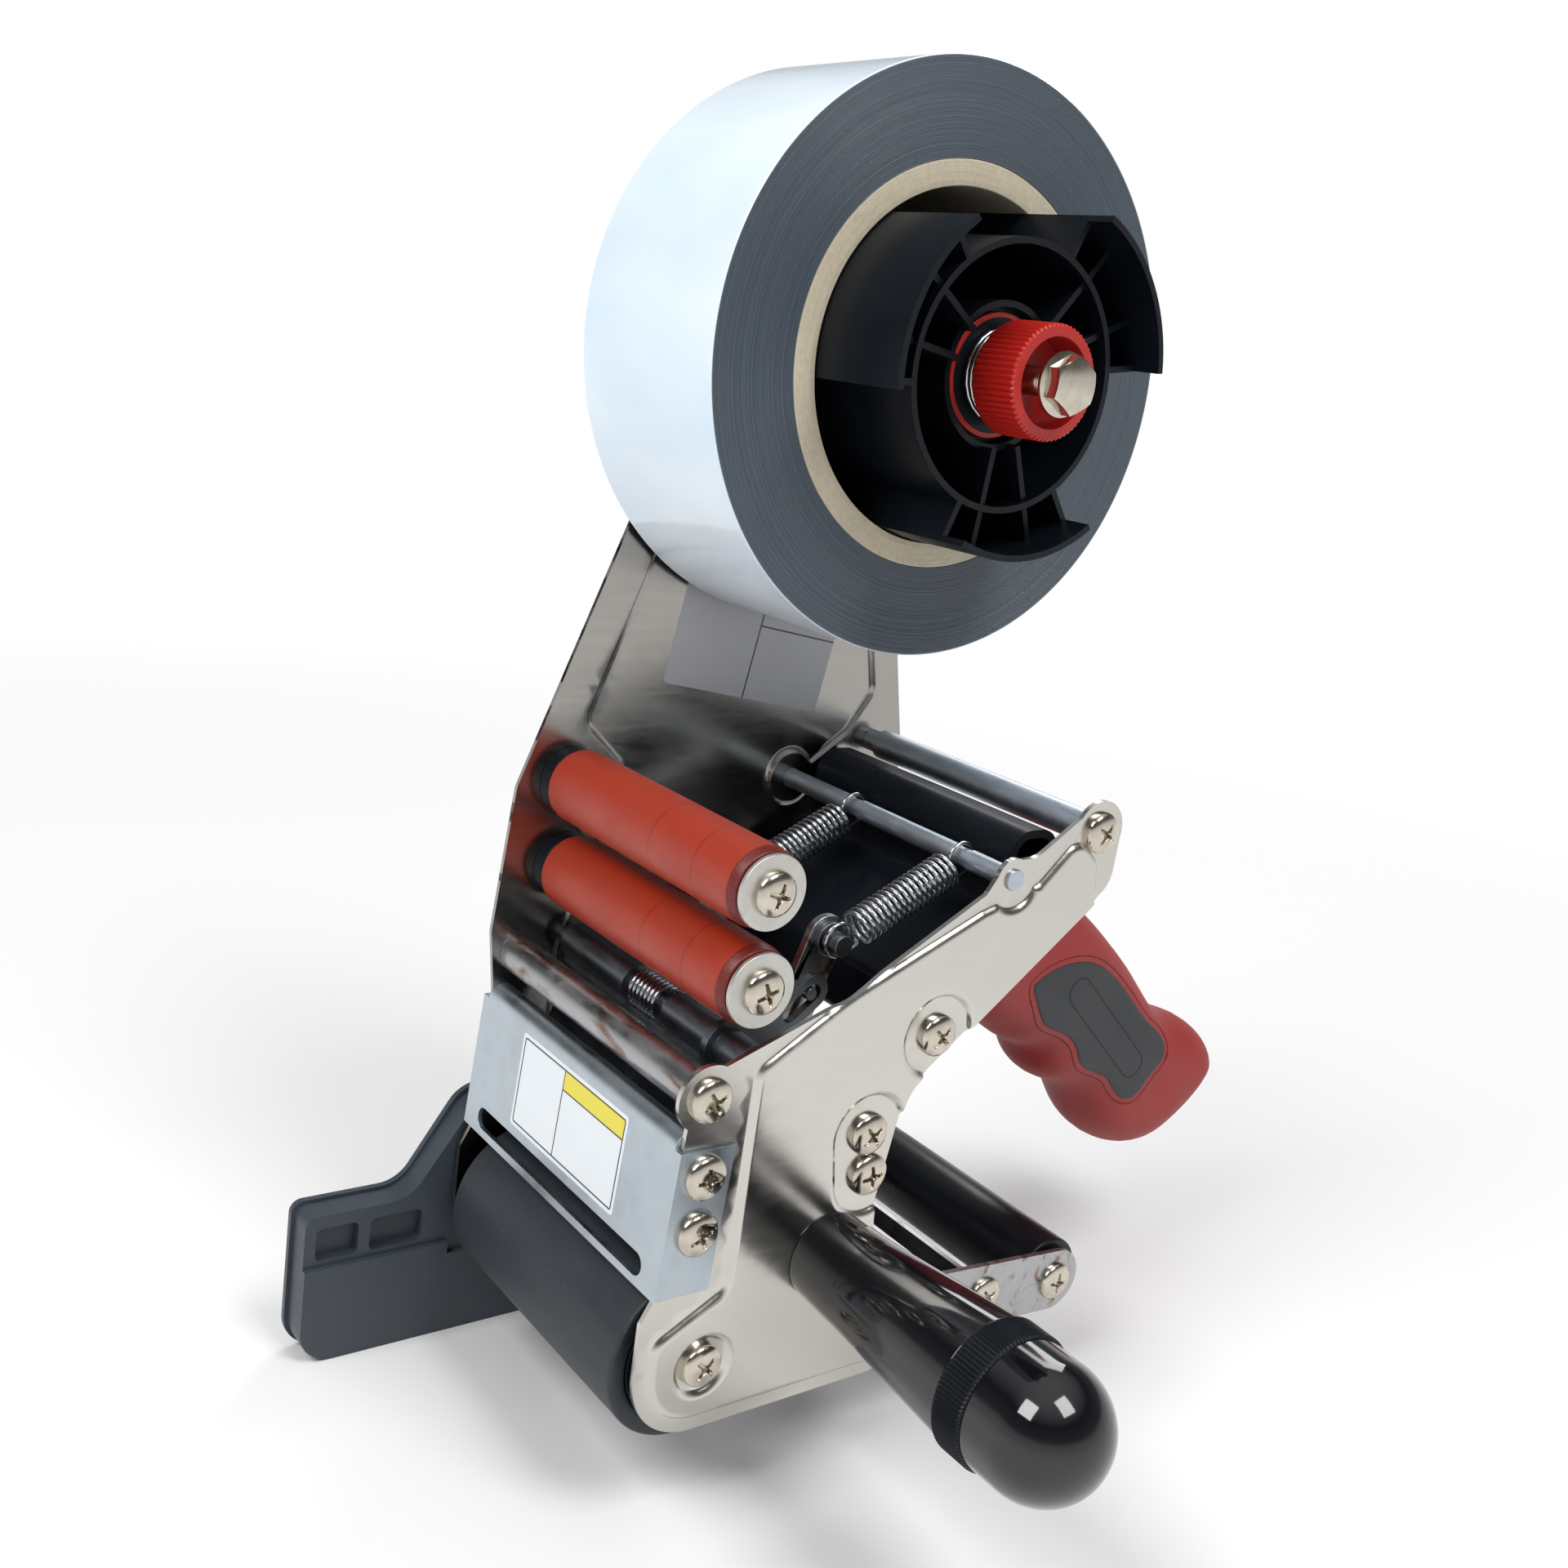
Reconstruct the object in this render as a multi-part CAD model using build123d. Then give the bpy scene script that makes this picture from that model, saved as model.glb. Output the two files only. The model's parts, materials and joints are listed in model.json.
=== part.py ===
from build123d import *
import math
import os

os.makedirs("parts", exist_ok=True)

# Sizes are in millimetres. X runs along the roller axes towards the side handle, Y runs back to the
# pistol grip and Z is up. The origin is on the axis of the tape roll, midway between the side plates.

# Tape roll and its core
tape_width = 51.0
roll_radius = 64.0
core_bore_radius = 38.1
core_wall = 5.6
roll_side_gap = 2.5

# Side plates
plate_gap = 84.0
plate_sheet = 1.2
plate_relief = 1.2
plate_bottom_z = -230.0
plate_foot_y = 5.0
plate_throat_y = -13.5
plate_throat_z = -188.0
ear_radius = 7.6
foot_corner_radius = 17.0
pocket_radius = 10.0
bead_margin = 4.2
dimple_radius = 7.2
top_edge_share = 0.43
panel_edge_share = 0.44
plate_shoulder_y = -67.5
plate_shoulder_z = -108.2

# Axle places in the Y and Z directions
front_roller_y = -56.2
front_roller_z = -213.7
rear_roller_y = 59.3
rear_roller_z = -223.9
pivot_y = -25.7
pivot_z = -193.7
upper_roller_y = -53.0
upper_roller_z = -107.0
lower_roller_y = -52.4
lower_roller_z = -128.4
front_tube_y = -63.2
front_tube_z = -150.2
rear_tube_y = 39.6
rear_tube_z = -98.9
spring_rod_y = 13.8
spring_rod_z = -108.7
body_screw_y = -2.4
body_screw_z = -144.2
stop_upper_y = -18.5
stop_upper_z = -165.7
stop_lower_y = -16.7
stop_lower_z = -176.0
carriage_y = -49.0
carriage_z = -147.0
post_y = -21.4
post_z = -126.4
link_pin_y = -28.5
link_pin_z = -137.0
arm_screw_y = 33.6
arm_screw_z = -221.8
knee_y = 4.0
knee_z = -219.6

# Fits
running_fit = 0.06
slip_fit = 0.1
seat_gap = 0.3

# Rollers
front_roller_radius = 20.2
front_rubber = 4.2
front_roller_low_x = -37.0
front_roller_high_x = 39.0
guide_roller_radius = 9.0
guide_rubber = 2.5
guide_roller_low_x = -37.6
guide_roller_high_x = 40.0
rear_roller_radius = 10.2
rear_rubber = 3.2
rear_roller_half_length = 37.0
axle_radius = 4.0
roller_wall = 2.5
roller_web = 4.0
collar_radius = 8.6
washer_radius = 9.0
washer_thickness = 1.2

# Cross tubes and rods
front_tube_radius = 4.5
rear_tube_radius = 3.9
neck_radius = 2.9
neck_length = 5.0
spring_rod_radius = 2.5
spring_rod_groove = 0.3
rivet_height = 0.8
pivot_radius = 5.0
carriage_shaft_radius = 3.0
stop_thickness = 9.0

# Pan head screws
screw_head_radius = 5.0
screw_head_height = 2.6
screw_radius = 2.0
screw_length = 11.0
small_head_height = 2.0
cross_share = 0.56
cross_width_share = 0.2
cross_depth_share = 0.6

# Rocker
arm_sheet = 1.5
arm_outer_x = 39.5
arm_half_height = 8.5
lever_sheet = 2.0
lever_half_width = 5.2
near_lever_x = 21.2
far_lever_x = -19.4
lever_bend_y = -33.5
lever_bend_z = -163.0
rocker_tube_wall = 2.5
post_radius = 2.5
post_length = 8.2
bush_radius = 4.0
bush_length = 1.7
link_pin_radius = 1.5
link_pin_length = 6.0
crossbar_y = 23.5
crossbar_depth = 9.5
crossbar_height = 15.0
crossbar_top_z = -214.5
crossbar_wall = 1.5
crossbar_tab_rise = 12.0

# Tension springs
spring_wire_radius = 0.5
spring_coil_radius = 3.6
spring_turns = 15
spring_body_length = 25.6
hook_clearance = 0.3
hook_degrees = (35, -35, -110, -190, -270)
wire_samples = 6
wire_skip_radii = 6
near_spring_x = 26.4
far_spring_x = -14.2

# Blade and its carriage
blade_tip_y = -67.6
blade_clearance = 4.7
blade_thickness = 0.8
blade_height = 16.0
blade_half_width = 33.0
blade_overlap_share = 0.55
blade_screw_share = 0.3
blade_tooth = 2.0
blade_pitch = 3.0
holder_sheet = 1.6
holder_half_width = 35.0
holder_foot_share = (0.2, 0.4)
sleeve_wall = 1.5
sleeve_low_x = 8.0
sleeve_high_x = 38.0
far_sleeve_low_x = -38.0
far_sleeve_high_x = -9.0
ear_low_x = 27.0
ear_sheet = 2.0
ear_half_width = 4.0
ear_hub_radius = 6.6
slot_way_share = (-0.78, -0.626)
slot_clearance = 0.6
slot_travel = 5.8
blade_screw_x = 22.0
torsion_wire_radius = 0.5
torsion_coil_radius = 4.2
torsion_turns = 7
torsion_pitch = 1.6

# Blade cover
cover_sheet = 1.1
cover_front_y = -71.6
cover_top_z = -161.0
cover_bottom_z = -194.5
cover_lean = 2.2
cover_flange_length = 16.0
cover_slot_top_z = -187.4
cover_slot_height = 5.2
cover_slot_margin = 4.0
cover_curl_radius = 3.4
cover_screw_y = -62.9
cover_screw_upper_z = -167.1
cover_screw_lower_z = -180.1

# Black body shell behind the springs
shell_wall = 2.0
shell_side_gap = 5.0
crest_radius = 6.0
crest_y = 24.0
crest_z = -105.5
shell_boss_radius = 6.0
tang_root_share = 0.2
tang_half_thickness = 5.0
tang_half_height = 9.0
tang_end_y = 118.0
tang_end_z = -182.0

# Pistol grip
grip_top_y = 60.0
grip_top_z = -152.0
grip_end_y = 141.0
grip_end_z = -192.0
grip_half_width = 15.0
grip_edge_radius = 3.0
panel_thickness = 1.8
panel_stand = 0.3
grip_pin_radius = 2.5
grip_pin_shares = (0.4, 0.8)

# Side handle
handle_base_radius = 10.4
handle_end_radius = 14.4
handle_end_x = 97.0
handle_ring_radius = 15.2
handle_ring_length = 8.0
handle_rib_depth = 0.7
handle_rib_count = 60
handle_dome_length = 22.0
handle_waist_share = (0.3, 0.2)
stud_radius = 4.0
stud_seat = 14.0

# Mandrel
hub_wall = 1.4
hub_ring_radius = 28.5
hub_ring_x = 31.0
hub_fin_x = 38.0
hub_fin_clearance = 0.3
hub_boss_radius = 15.7
hub_boss_x = 26.5
hub_floor_x = 20.0
hub_floor = 3.0
hub_back_gap = 0.6
fin_span_degrees = 60.0
fin_count = 3
first_fin_degrees = 8.5
fin_rib_degrees = 13.0
wedge_steps = 4
mandrel_bolt_radius = 3.0
bolt_head_x = 44.6
bolt_flange_radius = 7.1
bolt_flange_height = 1.2
bolt_hex_across = 10.6
bolt_hex_height = 4.6
mandrel_bush_radius = 5.5
mandrel_bush_length = 7.0
lock_nut_height = 5.5

# Brake knob, flange and spring
knob_radius = 12.0
knob_low_x = 27.2
knob_high_x = 42.7
knob_wall = 2.6
knob_web_low_x = 31.6
knob_web = 3.0
knob_rib_depth = 0.5
knob_rib_count = 60
brake_flange_radius = 13.2
brake_flange_thickness = 1.8
brake_coil_radius = 8.0
brake_turns = 3

# Side guide outside the far plate
guide_drop = 38.8
guide_front_y = -110.5
guide_rear_y = 0.0
guide_height = 38.9
guide_body = 6.8
guide_lip = 1.0
guide_lip_sheet = 1.6
guide_step = 1.5
guide_ledge_height = 25.3
guide_lobe_radius = 24.0
guide_corner_radius = 9.0
guide_fillet_radius = 9.0
guide_lobe_foot = 28.0
guide_pocket_depth = 3.0
guide_rib_y = -95.5
guide_rib = 3.0
guide_pocket_front_y = -107.6
guide_pocket_rear_y = -80.5
guide_pocket_top_height = 35.5
guide_pocket_foot_height = 26.9

# Values worked out from the sizes above
inner_x = plate_gap / 2
outer_x = inner_x + plate_sheet
guide_bottom_z = front_roller_z - guide_drop
guide_top_z = guide_bottom_z + guide_height
guide_ledge_z = guide_bottom_z + guide_ledge_height
guide_pocket_top_z = guide_bottom_z + guide_pocket_top_height
guide_pocket_bottom_z = guide_bottom_z + guide_pocket_foot_height
panel_x = outer_x + plate_relief
front_roller_at = (front_roller_y, front_roller_z)
rear_roller_at = (rear_roller_y, rear_roller_z)
pivot_at = (pivot_y, pivot_z)
upper_roller_at = (upper_roller_y, upper_roller_z)
lower_roller_at = (lower_roller_y, lower_roller_z)
front_tube_at = (front_tube_y, front_tube_z)
rear_tube_at = (rear_tube_y, rear_tube_z)
spring_rod_at = (spring_rod_y, spring_rod_z)
body_screw_at = (body_screw_y, body_screw_z)
stop_upper_at = (stop_upper_y, stop_upper_z)
stop_lower_at = (stop_lower_y, stop_lower_z)
carriage_at = (carriage_y, carriage_z)
post_at = (post_y, post_z)
link_pin_at = (link_pin_y, link_pin_z)
arm_screw_at = (arm_screw_y, arm_screw_z)
knee_at = (knee_y, knee_z)
lever_bend_at = (lever_bend_y, lever_bend_z)
crest_at = (crest_y, crest_z)
grip_top_at = (grip_top_y, grip_top_z)
tang_end_at = (tang_end_y, tang_end_z)
mandrel_at = (0, 0)
screw_hole_radius = screw_radius + running_fit
core_outer_radius = core_bore_radius + core_wall
hub_fin_radius = core_bore_radius - hub_fin_clearance
roll_low_x = -inner_x + roll_side_gap
roll_high_x = roll_low_x + tape_width
shell_half_width = inner_x - shell_side_gap
blade_tip = (blade_tip_y, front_roller_z + front_roller_radius + blade_clearance)
cover_seat_y = cover_front_y + cover_sheet + slip_fit


# Shared shapes

def beside(place, size, share):
    """Point at a share of a size away from a place, in the Y and Z directions."""
    return (place[0] + size * share[0], place[1] + size * share[1])


def between(start, end, share):
    """Point at a share of the way from one place to another."""
    return (start[0] + (end[0] - start[0]) * share, start[1] + (end[1] - start[1]) * share)


def side_face(x):
    """Plane square to X, whose own axes run along Y and Z."""
    return Plane.YZ.offset(x)


def slab(face, low_x, high_x):
    """Solid that fills a Y and Z outline from one X to another."""
    return extrude(side_face(low_x) * face, high_x - low_x)


def bar(radius, low_x, high_x, place, bore=0):
    """Round bar or tube along X."""
    section = Circle(radius)
    if bore:
        section -= Circle(bore)
    return slab(Pos(*place) * section, low_x, high_x)


def rounded(points, radii):
    """Filled outline whose corners are arcs of the given radii."""
    return make_face(FilletPolyline(*points, radius=radii, close=True))


def strip(start, end, half_width):
    """Filled outline with round ends about two places."""
    reach = (Vector(*end) - Vector(*start)).length
    turn = math.degrees(math.atan2(end[1] - start[1], end[0] - start[0]))
    middle = between(start, end, 1 / 2)
    block = Pos(*middle) * Rot(0, 0, turn) * Rectangle(reach, 2 * half_width)
    return block + Pos(*start) * Circle(half_width) + Pos(*end) * Circle(half_width)


def along_x(solid, side):
    """The solid itself, or its mirror image for the far side."""
    return solid if side > 0 else mirror(solid, about=Plane.YZ)


def save(name, *solids):
    """Write one node, as one solid or as a group of separate solids."""
    shape = solids[0] if len(solids) == 1 else Compound(children=list(solids))
    export_step(shape, f"parts/{name}.step")


def ribbed_ring(radius, depth, count, low_x, high_x, place):
    """Round bar with fine ribs along X all round it."""
    points = []
    for index in range(2 * count):
        reach = radius if index % 2 else radius - depth
        turn = math.pi * index / count
        points.append(beside(place, reach, (math.cos(turn), math.sin(turn))))
    return slab(make_face(Polyline(*points, close=True)), low_x, high_x)


def pan_screw(place, face_x, side, length=screw_length, height=screw_head_height, radius=screw_head_radius):
    """Pan head screw with a cross recess, whose head sits on a face square to X."""
    head = bar(radius, 0, height, mandrel_at)
    rim = head.edges().filter_by(GeomType.CIRCLE).sort_by(Axis.X)[-1]
    head = fillet(rim, height * cross_depth_share)
    depth = height * cross_depth_share
    for turn in (0, 90):
        arm = Rectangle(2 * radius * cross_share, radius * cross_width_share)
        head -= slab(Rot(0, 0, turn) * arm, height - depth, height)
    shank = bar(screw_radius, -length, 0, mandrel_at)
    screw = along_x(head + shank, side)
    return Pos(side * face_x, *place) * screw


def both_ends(place, face_x):
    """Pan head screws at the near and far end of a bar."""
    return [pan_screw(place, face_x, side) for side in (1, -1)]


def tapped(solid, place, half_length):
    """Bar along X with a screw hole in each end."""
    solid -= bar(screw_hole_radius, half_length - screw_length, half_length, place)
    return solid - bar(screw_hole_radius, -half_length, screw_length - half_length, place)


# Wound wire: each stretch is a pair of tangent arcs between two points of the path

def arc_pair(start, start_way, end, end_way):
    """Two tangent arcs that join two points with given directions."""
    across = end - start
    ways = start_way + end_way
    bend = 2 * start_way.dot(end_way) - 2
    reach = across.dot(ways)
    size = across.dot(across)
    if abs(bend) < Vector(1, 0, 0).length / 1e9:
        arm = size / (2 * reach)
    else:
        arm = (reach - math.sqrt(reach * reach - bend * size)) / bend
    first = start + start_way * arm
    last = end - end_way * arm
    middle = (first + last) / 2
    middle_way = (last - first).normalized()
    return [Edge.make_tangent_arc(start, start_way, middle), Edge.make_tangent_arc(middle, middle_way, end)]


def wire_solid(stations, wire_radius, name):
    """One unbroken round wire through stations of point and direction; prints its least gap to itself."""
    edges = []
    for (start, start_way), (end, end_way) in zip(stations, stations[1:]):
        edges += arc_pair(start, start_way, end, end_way)
    path = Wire(edges)
    profile = Plane(origin=stations[0][0], z_dir=stations[0][1]) * Circle(wire_radius)
    solid = sweep(profile, path=path)
    samples = []
    travelled = 0
    for edge in edges:
        for step in range(wire_samples):
            share = step / wire_samples
            samples.append((travelled + edge.length * share, edge.position_at(share)))
        travelled += edge.length
    apart = wire_skip_radii * wire_radius
    gaps = [
        (one - other).length
        for index, (here, one) in enumerate(samples)
        for there, other in samples[index + 1:]
        if there - here > apart
    ]
    print(name, "least gap to itself", round(min(gaps) - 2 * wire_radius, 2), "mm")
    print(name, "volume", round(solid.volume, 1))
    return solid


def helix_station(origin, along, side, up, radius, pitch, turn):
    """Point and direction on a helix after a number of turns."""
    angle = 2 * math.pi * turn
    spoke = side * (radius * math.cos(angle)) + up * (radius * math.sin(angle))
    point = origin + along * (pitch * turn) + spoke
    way = along * (pitch / (2 * math.pi)) + (up * math.cos(angle) - side * math.sin(angle)) * radius
    return (point, way.normalized())


def hook_stations(eye, along, side, radius, way_sign):
    """Open loop round a rod, from its free end to where it leaves for the coil."""
    stations = []
    for degrees in hook_degrees:
        angle = math.radians(degrees)
        point = eye + along * (radius * math.cos(angle)) + side * (radius * math.sin(angle))
        way = (along * math.sin(angle) - side * math.cos(angle)) * way_sign
        stations.append((point, way))
    return stations


def tension_spring(x, name):
    """Close coil between the spring rod and a lever post, with an open loop at each end."""
    rod = Vector(x, *spring_rod_at)
    post = Vector(x, *post_at)
    along = (post - rod).normalized()
    cross = Vector(1, 0, 0)
    side = along.cross(cross) * -1
    loop = spring_rod_radius + hook_clearance + spring_wire_radius
    pitch = spring_body_length / spring_turns
    lead = ((post - rod).length - spring_body_length) / 2
    coil_start = rod + along * lead
    stations = hook_stations(rod, along, side, loop, 1)
    for quarter in range(4 * spring_turns - 1):
        turn = (quarter + 1) / 4
        stations.append(helix_station(coil_start, along, side, cross, spring_coil_radius, pitch, turn))
    far_loop = hook_stations(post, along * -1, side, loop, -1)
    stations += reversed(far_loop)
    return wire_solid(stations, spring_wire_radius, name)


# Side plates

panel_foot = (front_roller_y - foot_corner_radius + bead_margin, plate_bottom_z + bead_margin)


def near_outline():
    corners = (
        (beside(rear_tube_at, ear_radius, (-0.55, 0.72)), 0),
        (beside(rear_tube_at, ear_radius, (0.98, -0.2)), 0),
        (beside(rear_tube_at, ear_radius, (0.95, -1.75)), ear_radius),
        (beside(body_screw_at, pocket_radius, (-0.62, -1.28)), pocket_radius),
        ((plate_throat_y, plate_throat_z), pocket_radius),
        ((plate_foot_y, plate_bottom_z), ear_radius),
        ((front_roller_y - foot_corner_radius, plate_bottom_z), foot_corner_radius - slip_fit),
        (beside(front_roller_at, foot_corner_radius, (-1.0, 0.8)), 0),
        ((cover_seat_y, cover_bottom_z - slip_fit), 0),
        ((cover_seat_y + cover_lean, cover_top_z), 0),
        (beside(front_tube_at, ear_radius, (-0.5, 0.5)), 0),
        (beside(front_tube_at, ear_radius, (0.32, 0.86)), 0),
        (between(front_tube_at, spring_rod_at, top_edge_share), 3 * ear_radius),
        (beside(spring_rod_at, ear_radius, (-1.02, -0.4)), 0),
        (beside(spring_rod_at, ear_radius, (-0.35, 0.6)), 0),
        (beside(spring_rod_at, ear_radius, (0.85, 0.63)), ear_radius),
    )
    outline = rounded([place for place, radius in corners], [radius for place, radius in corners])
    for place in (front_tube_at, rear_tube_at):
        outline += Pos(*place) * Circle(ear_radius)
    return outline + Pos(*spring_rod_at) * Circle(ear_radius * 2 / 3)


def with_pockets(panel):
    """Raised middle of a plate, cut back to level pockets round the rod and the screws."""
    level = ((spring_rod_at, ear_radius), (body_screw_at, pocket_radius), (front_roller_at, dimple_radius))
    for place, radius in level:
        panel -= Pos(*place) * Circle(radius)
    return panel - strip(stop_upper_at, stop_lower_at, pocket_radius)


def near_panel(outline):
    """Raised middle of the near plate."""
    front_y = front_roller_y + bead_margin
    corners = (
        (panel_foot, foot_corner_radius - bead_margin),
        (beside(front_roller_at, foot_corner_radius, (-0.78, 0.45)), bead_margin),
        ((front_y, front_roller_z + foot_corner_radius), bead_margin),
        (beside((front_y, front_tube_z), ear_radius, (0.05, 0.6)), bead_margin),
        (between(front_tube_at, spring_rod_at, panel_edge_share), 2 * ear_radius),
        (beside(spring_rod_at, ear_radius, (-1.1, -1.0)), bead_margin),
        (beside(spring_rod_at, ear_radius, (1.1, -0.3)), 0),
        (beside(rear_tube_at, ear_radius, (-0.9, -0.2)), bead_margin),
        (beside(rear_tube_at, ear_radius, (0.0, -1.0)), bead_margin),
        (beside(rear_tube_at, ear_radius, (0.3, -2.6)), 0),
        (beside(stop_lower_at, pocket_radius, (1.2, -0.8)), 0),
        ((plate_foot_y - bead_margin, plate_bottom_z + bead_margin), bead_margin),
    )
    panel = rounded([place for place, radius in corners], [radius for place, radius in corners])
    panel &= outline
    return with_pockets(panel)


def far_outline():
    top_radius = 3 * ear_radius
    corners = (
        (beside(mandrel_at, top_radius, (-0.9, 1.0)), top_radius * 2 / 3),
        (beside(mandrel_at, top_radius, (0.9, 1.0)), top_radius * 2 / 3),
        (beside(rear_tube_at, ear_radius, (1.35, 0.12)), ear_radius),
        (beside(rear_tube_at, ear_radius, (1.55, -1.6)), ear_radius / 2),
        (beside(body_screw_at, pocket_radius, (-0.62, -1.28)), pocket_radius),
        ((plate_throat_y, plate_throat_z), pocket_radius),
        ((plate_foot_y, plate_bottom_z), ear_radius),
        ((front_roller_y - foot_corner_radius, plate_bottom_z), foot_corner_radius - slip_fit),
        (beside(front_roller_at, foot_corner_radius, (-1.0, 0.8)), 0),
        ((cover_seat_y, cover_bottom_z - slip_fit), 0),
        ((cover_seat_y + cover_lean, cover_top_z), ear_radius / 2),
        (beside(front_tube_at, ear_radius, (-0.95, 0.8)), ear_radius),
        ((plate_shoulder_y, plate_shoulder_z), ear_radius),
    )
    return rounded([place for place, radius in corners], [radius for place, radius in corners])


def far_panel(outline):
    top_radius = 3 * ear_radius - 2 * bead_margin
    front_y = front_roller_y + bead_margin
    corners = (
        (beside(mandrel_at, top_radius, (-0.95, 1.05)), top_radius * 2 / 3),
        (beside(mandrel_at, top_radius, (0.95, 1.05)), top_radius * 2 / 3),
        (beside(rear_tube_at, ear_radius, (-0.25, 1.75)), bead_margin),
        (beside(rear_tube_at, ear_radius, (-1.2, 0.3)), bead_margin),
        (beside(spring_rod_at, ear_radius, (0.0, 0.0)), 0),
        (beside(rear_tube_at, ear_radius, (0.3, -2.6)), 0),
        (beside(stop_lower_at, pocket_radius, (1.2, -0.8)), 0),
        ((plate_foot_y - bead_margin, plate_bottom_z + bead_margin), bead_margin),
        (panel_foot, foot_corner_radius - bead_margin),
        (beside(front_roller_at, foot_corner_radius, (-0.78, 0.45)), bead_margin),
        ((front_y, front_roller_z + foot_corner_radius), bead_margin),
        ((front_y, front_tube_z), bead_margin),
        (beside(upper_roller_at, guide_roller_radius, (1.7, 0.3)), bead_margin),
        (beside(upper_roller_at, guide_roller_radius, (0.3, 1.6)), bead_margin),
    )
    panel = rounded([place for place, radius in corners], [radius for place, radius in corners])
    panel &= outline
    return with_pockets(panel)


def side_plate(outline, panel, side, holes):
    sheet = slab(outline, inner_x, outer_x) + slab(panel, outer_x, panel_x)
    recess = offset(panel, -plate_sheet)
    sheet -= slab(recess, inner_x, inner_x + plate_relief)
    for place, radius in holes:
        sheet -= bar(radius, inner_x, panel_x, place)
    return along_x(sheet, side)


shared_holes = [(place, screw_hole_radius) for place in (front_tube_at, front_roller_at, body_screw_at)]
shared_holes += [(place, screw_hole_radius) for place in (stop_upper_at, stop_lower_at, rear_tube_at)]
shared_holes.append((spring_rod_at, spring_rod_radius + running_fit))
cover_screw_places = [(cover_screw_y, cover_screw_upper_z), (cover_screw_y - slip_fit, cover_screw_lower_z)]
shared_holes += [(place, screw_hole_radius) for place in cover_screw_places]
near_holes = shared_holes + [(pivot_at, stud_radius + running_fit)]
far_holes = shared_holes + [(pivot_at, screw_hole_radius)]
far_holes += [(upper_roller_at, screw_hole_radius), (lower_roller_at, screw_hole_radius)]
far_holes += [(mandrel_at, mandrel_bolt_radius + running_fit)]
near_face = near_outline()
far_face = far_outline()
save("near_side_plate", side_plate(near_face, near_panel(near_face), 1, near_holes))
save("far_side_plate", side_plate(far_face, far_panel(far_face), -1, far_holes))

# Cross tubes and rods between the plates

front_tube = bar(front_tube_radius, -inner_x, inner_x, front_tube_at)
save("front_cross_tube", tapped(front_tube, front_tube_at, inner_x))
rear_tube = bar(rear_tube_radius, neck_length - inner_x, inner_x, rear_tube_at)
rear_tube += bar(neck_radius, -inner_x, neck_length - inner_x, rear_tube_at)
save("rear_cross_tube", tapped(rear_tube, rear_tube_at, inner_x))

spring_rod = bar(spring_rod_radius, -outer_x - rivet_height, outer_x + rivet_height, spring_rod_at)
for spring_x in (near_spring_x, far_spring_x):
    groove = bar(2 * spring_rod_radius, spring_x - post_radius, spring_x + post_radius, spring_rod_at)
    groove -= bar(spring_rod_radius - spring_rod_groove, -inner_x, inner_x, spring_rod_at)
    spring_rod -= groove
save("spring_rod", spring_rod)

pivot_bar = tapped(bar(pivot_radius, -inner_x, inner_x, pivot_at), pivot_at, inner_x)
pivot_bar -= bar(stud_radius + running_fit, inner_x - stud_seat, inner_x, pivot_at)
save("rocker_pivot", pivot_bar)

stop_middle = Pos(*between(stop_upper_at, stop_lower_at, 1 / 2))
stop_height = stop_upper_z - stop_lower_z + 2 * screw_head_radius
stop_bar = slab(stop_middle * Rectangle(stop_thickness, stop_height), -inner_x, inner_x)
for place in (stop_upper_at, stop_lower_at):
    stop_bar = tapped(stop_bar, place, inner_x)
save("stop_bar", stop_bar)

# Frame screws

frame_screws = []
for place in (front_tube_at, rear_tube_at, front_roller_at):
    frame_screws += both_ends(place, outer_x)
frame_screws.append(pan_screw(pivot_at, panel_x, -1))
save("frame_screws", *frame_screws)

body_screws = []
for place in (body_screw_at, stop_upper_at, stop_lower_at):
    body_screws += both_ends(place, outer_x)
save("body_screws", *body_screws)

# Front roller

def roller_core(radius, low_x, high_x, place):
    """Tube with a web at each end that runs on the axle."""
    core = bar(radius, low_x, high_x, place, axle_radius + running_fit)
    if radius - roller_wall > axle_radius + roller_wall:
        core -= bar(radius - roller_wall, low_x + roller_web, high_x - roller_web, place)
    return core


def covered_roller(name, radius, rubber, low_x, high_x, place):
    core_radius = radius - rubber
    save(name + "_core", roller_core(core_radius, low_x, high_x, place))
    sleeve = bar(radius, low_x + seat_gap, high_x - seat_gap, place, core_radius)
    sleeve = chamfer(sleeve.edges().filter_by(GeomType.CIRCLE).group_by(SortBy.LENGTH)[-1], rubber / 6)
    save(name + "_rubber", sleeve)


front_axle = bar(axle_radius, -inner_x, inner_x, front_roller_at)
save("front_roller_axle", tapped(front_axle, front_roller_at, inner_x))
covered_roller(
    "front_roller", front_roller_radius, front_rubber,
    front_roller_low_x, front_roller_high_x, front_roller_at,
)

# Red guide rollers, held at their far ends only

guide_places = (("upper_guide_roller", upper_roller_at), ("lower_guide_roller", lower_roller_at))
guide_axles = []
collars = []
washers = []
guide_screws = []
axle_end_x = guide_roller_high_x + seat_gap
for name, place in guide_places:
    covered_roller(name, guide_roller_radius, guide_rubber, guide_roller_low_x, guide_roller_high_x, place)
    axle = bar(axle_radius, -inner_x, axle_end_x, place)
    axle -= bar(screw_hole_radius, -inner_x, screw_length - inner_x, place)
    guide_axles.append(axle - bar(screw_hole_radius, axle_end_x - screw_length, axle_end_x, place))
    collar_end_x = guide_roller_low_x - seat_gap
    collars.append(bar(collar_radius, -inner_x, collar_end_x, place, axle_radius + running_fit))
    washers.append(bar(washer_radius, axle_end_x, axle_end_x + washer_thickness, place, screw_hole_radius))
    guide_screws.append(pan_screw(place, axle_end_x + washer_thickness, 1))
    guide_screws.append(pan_screw(place, outer_x, -1))
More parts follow.
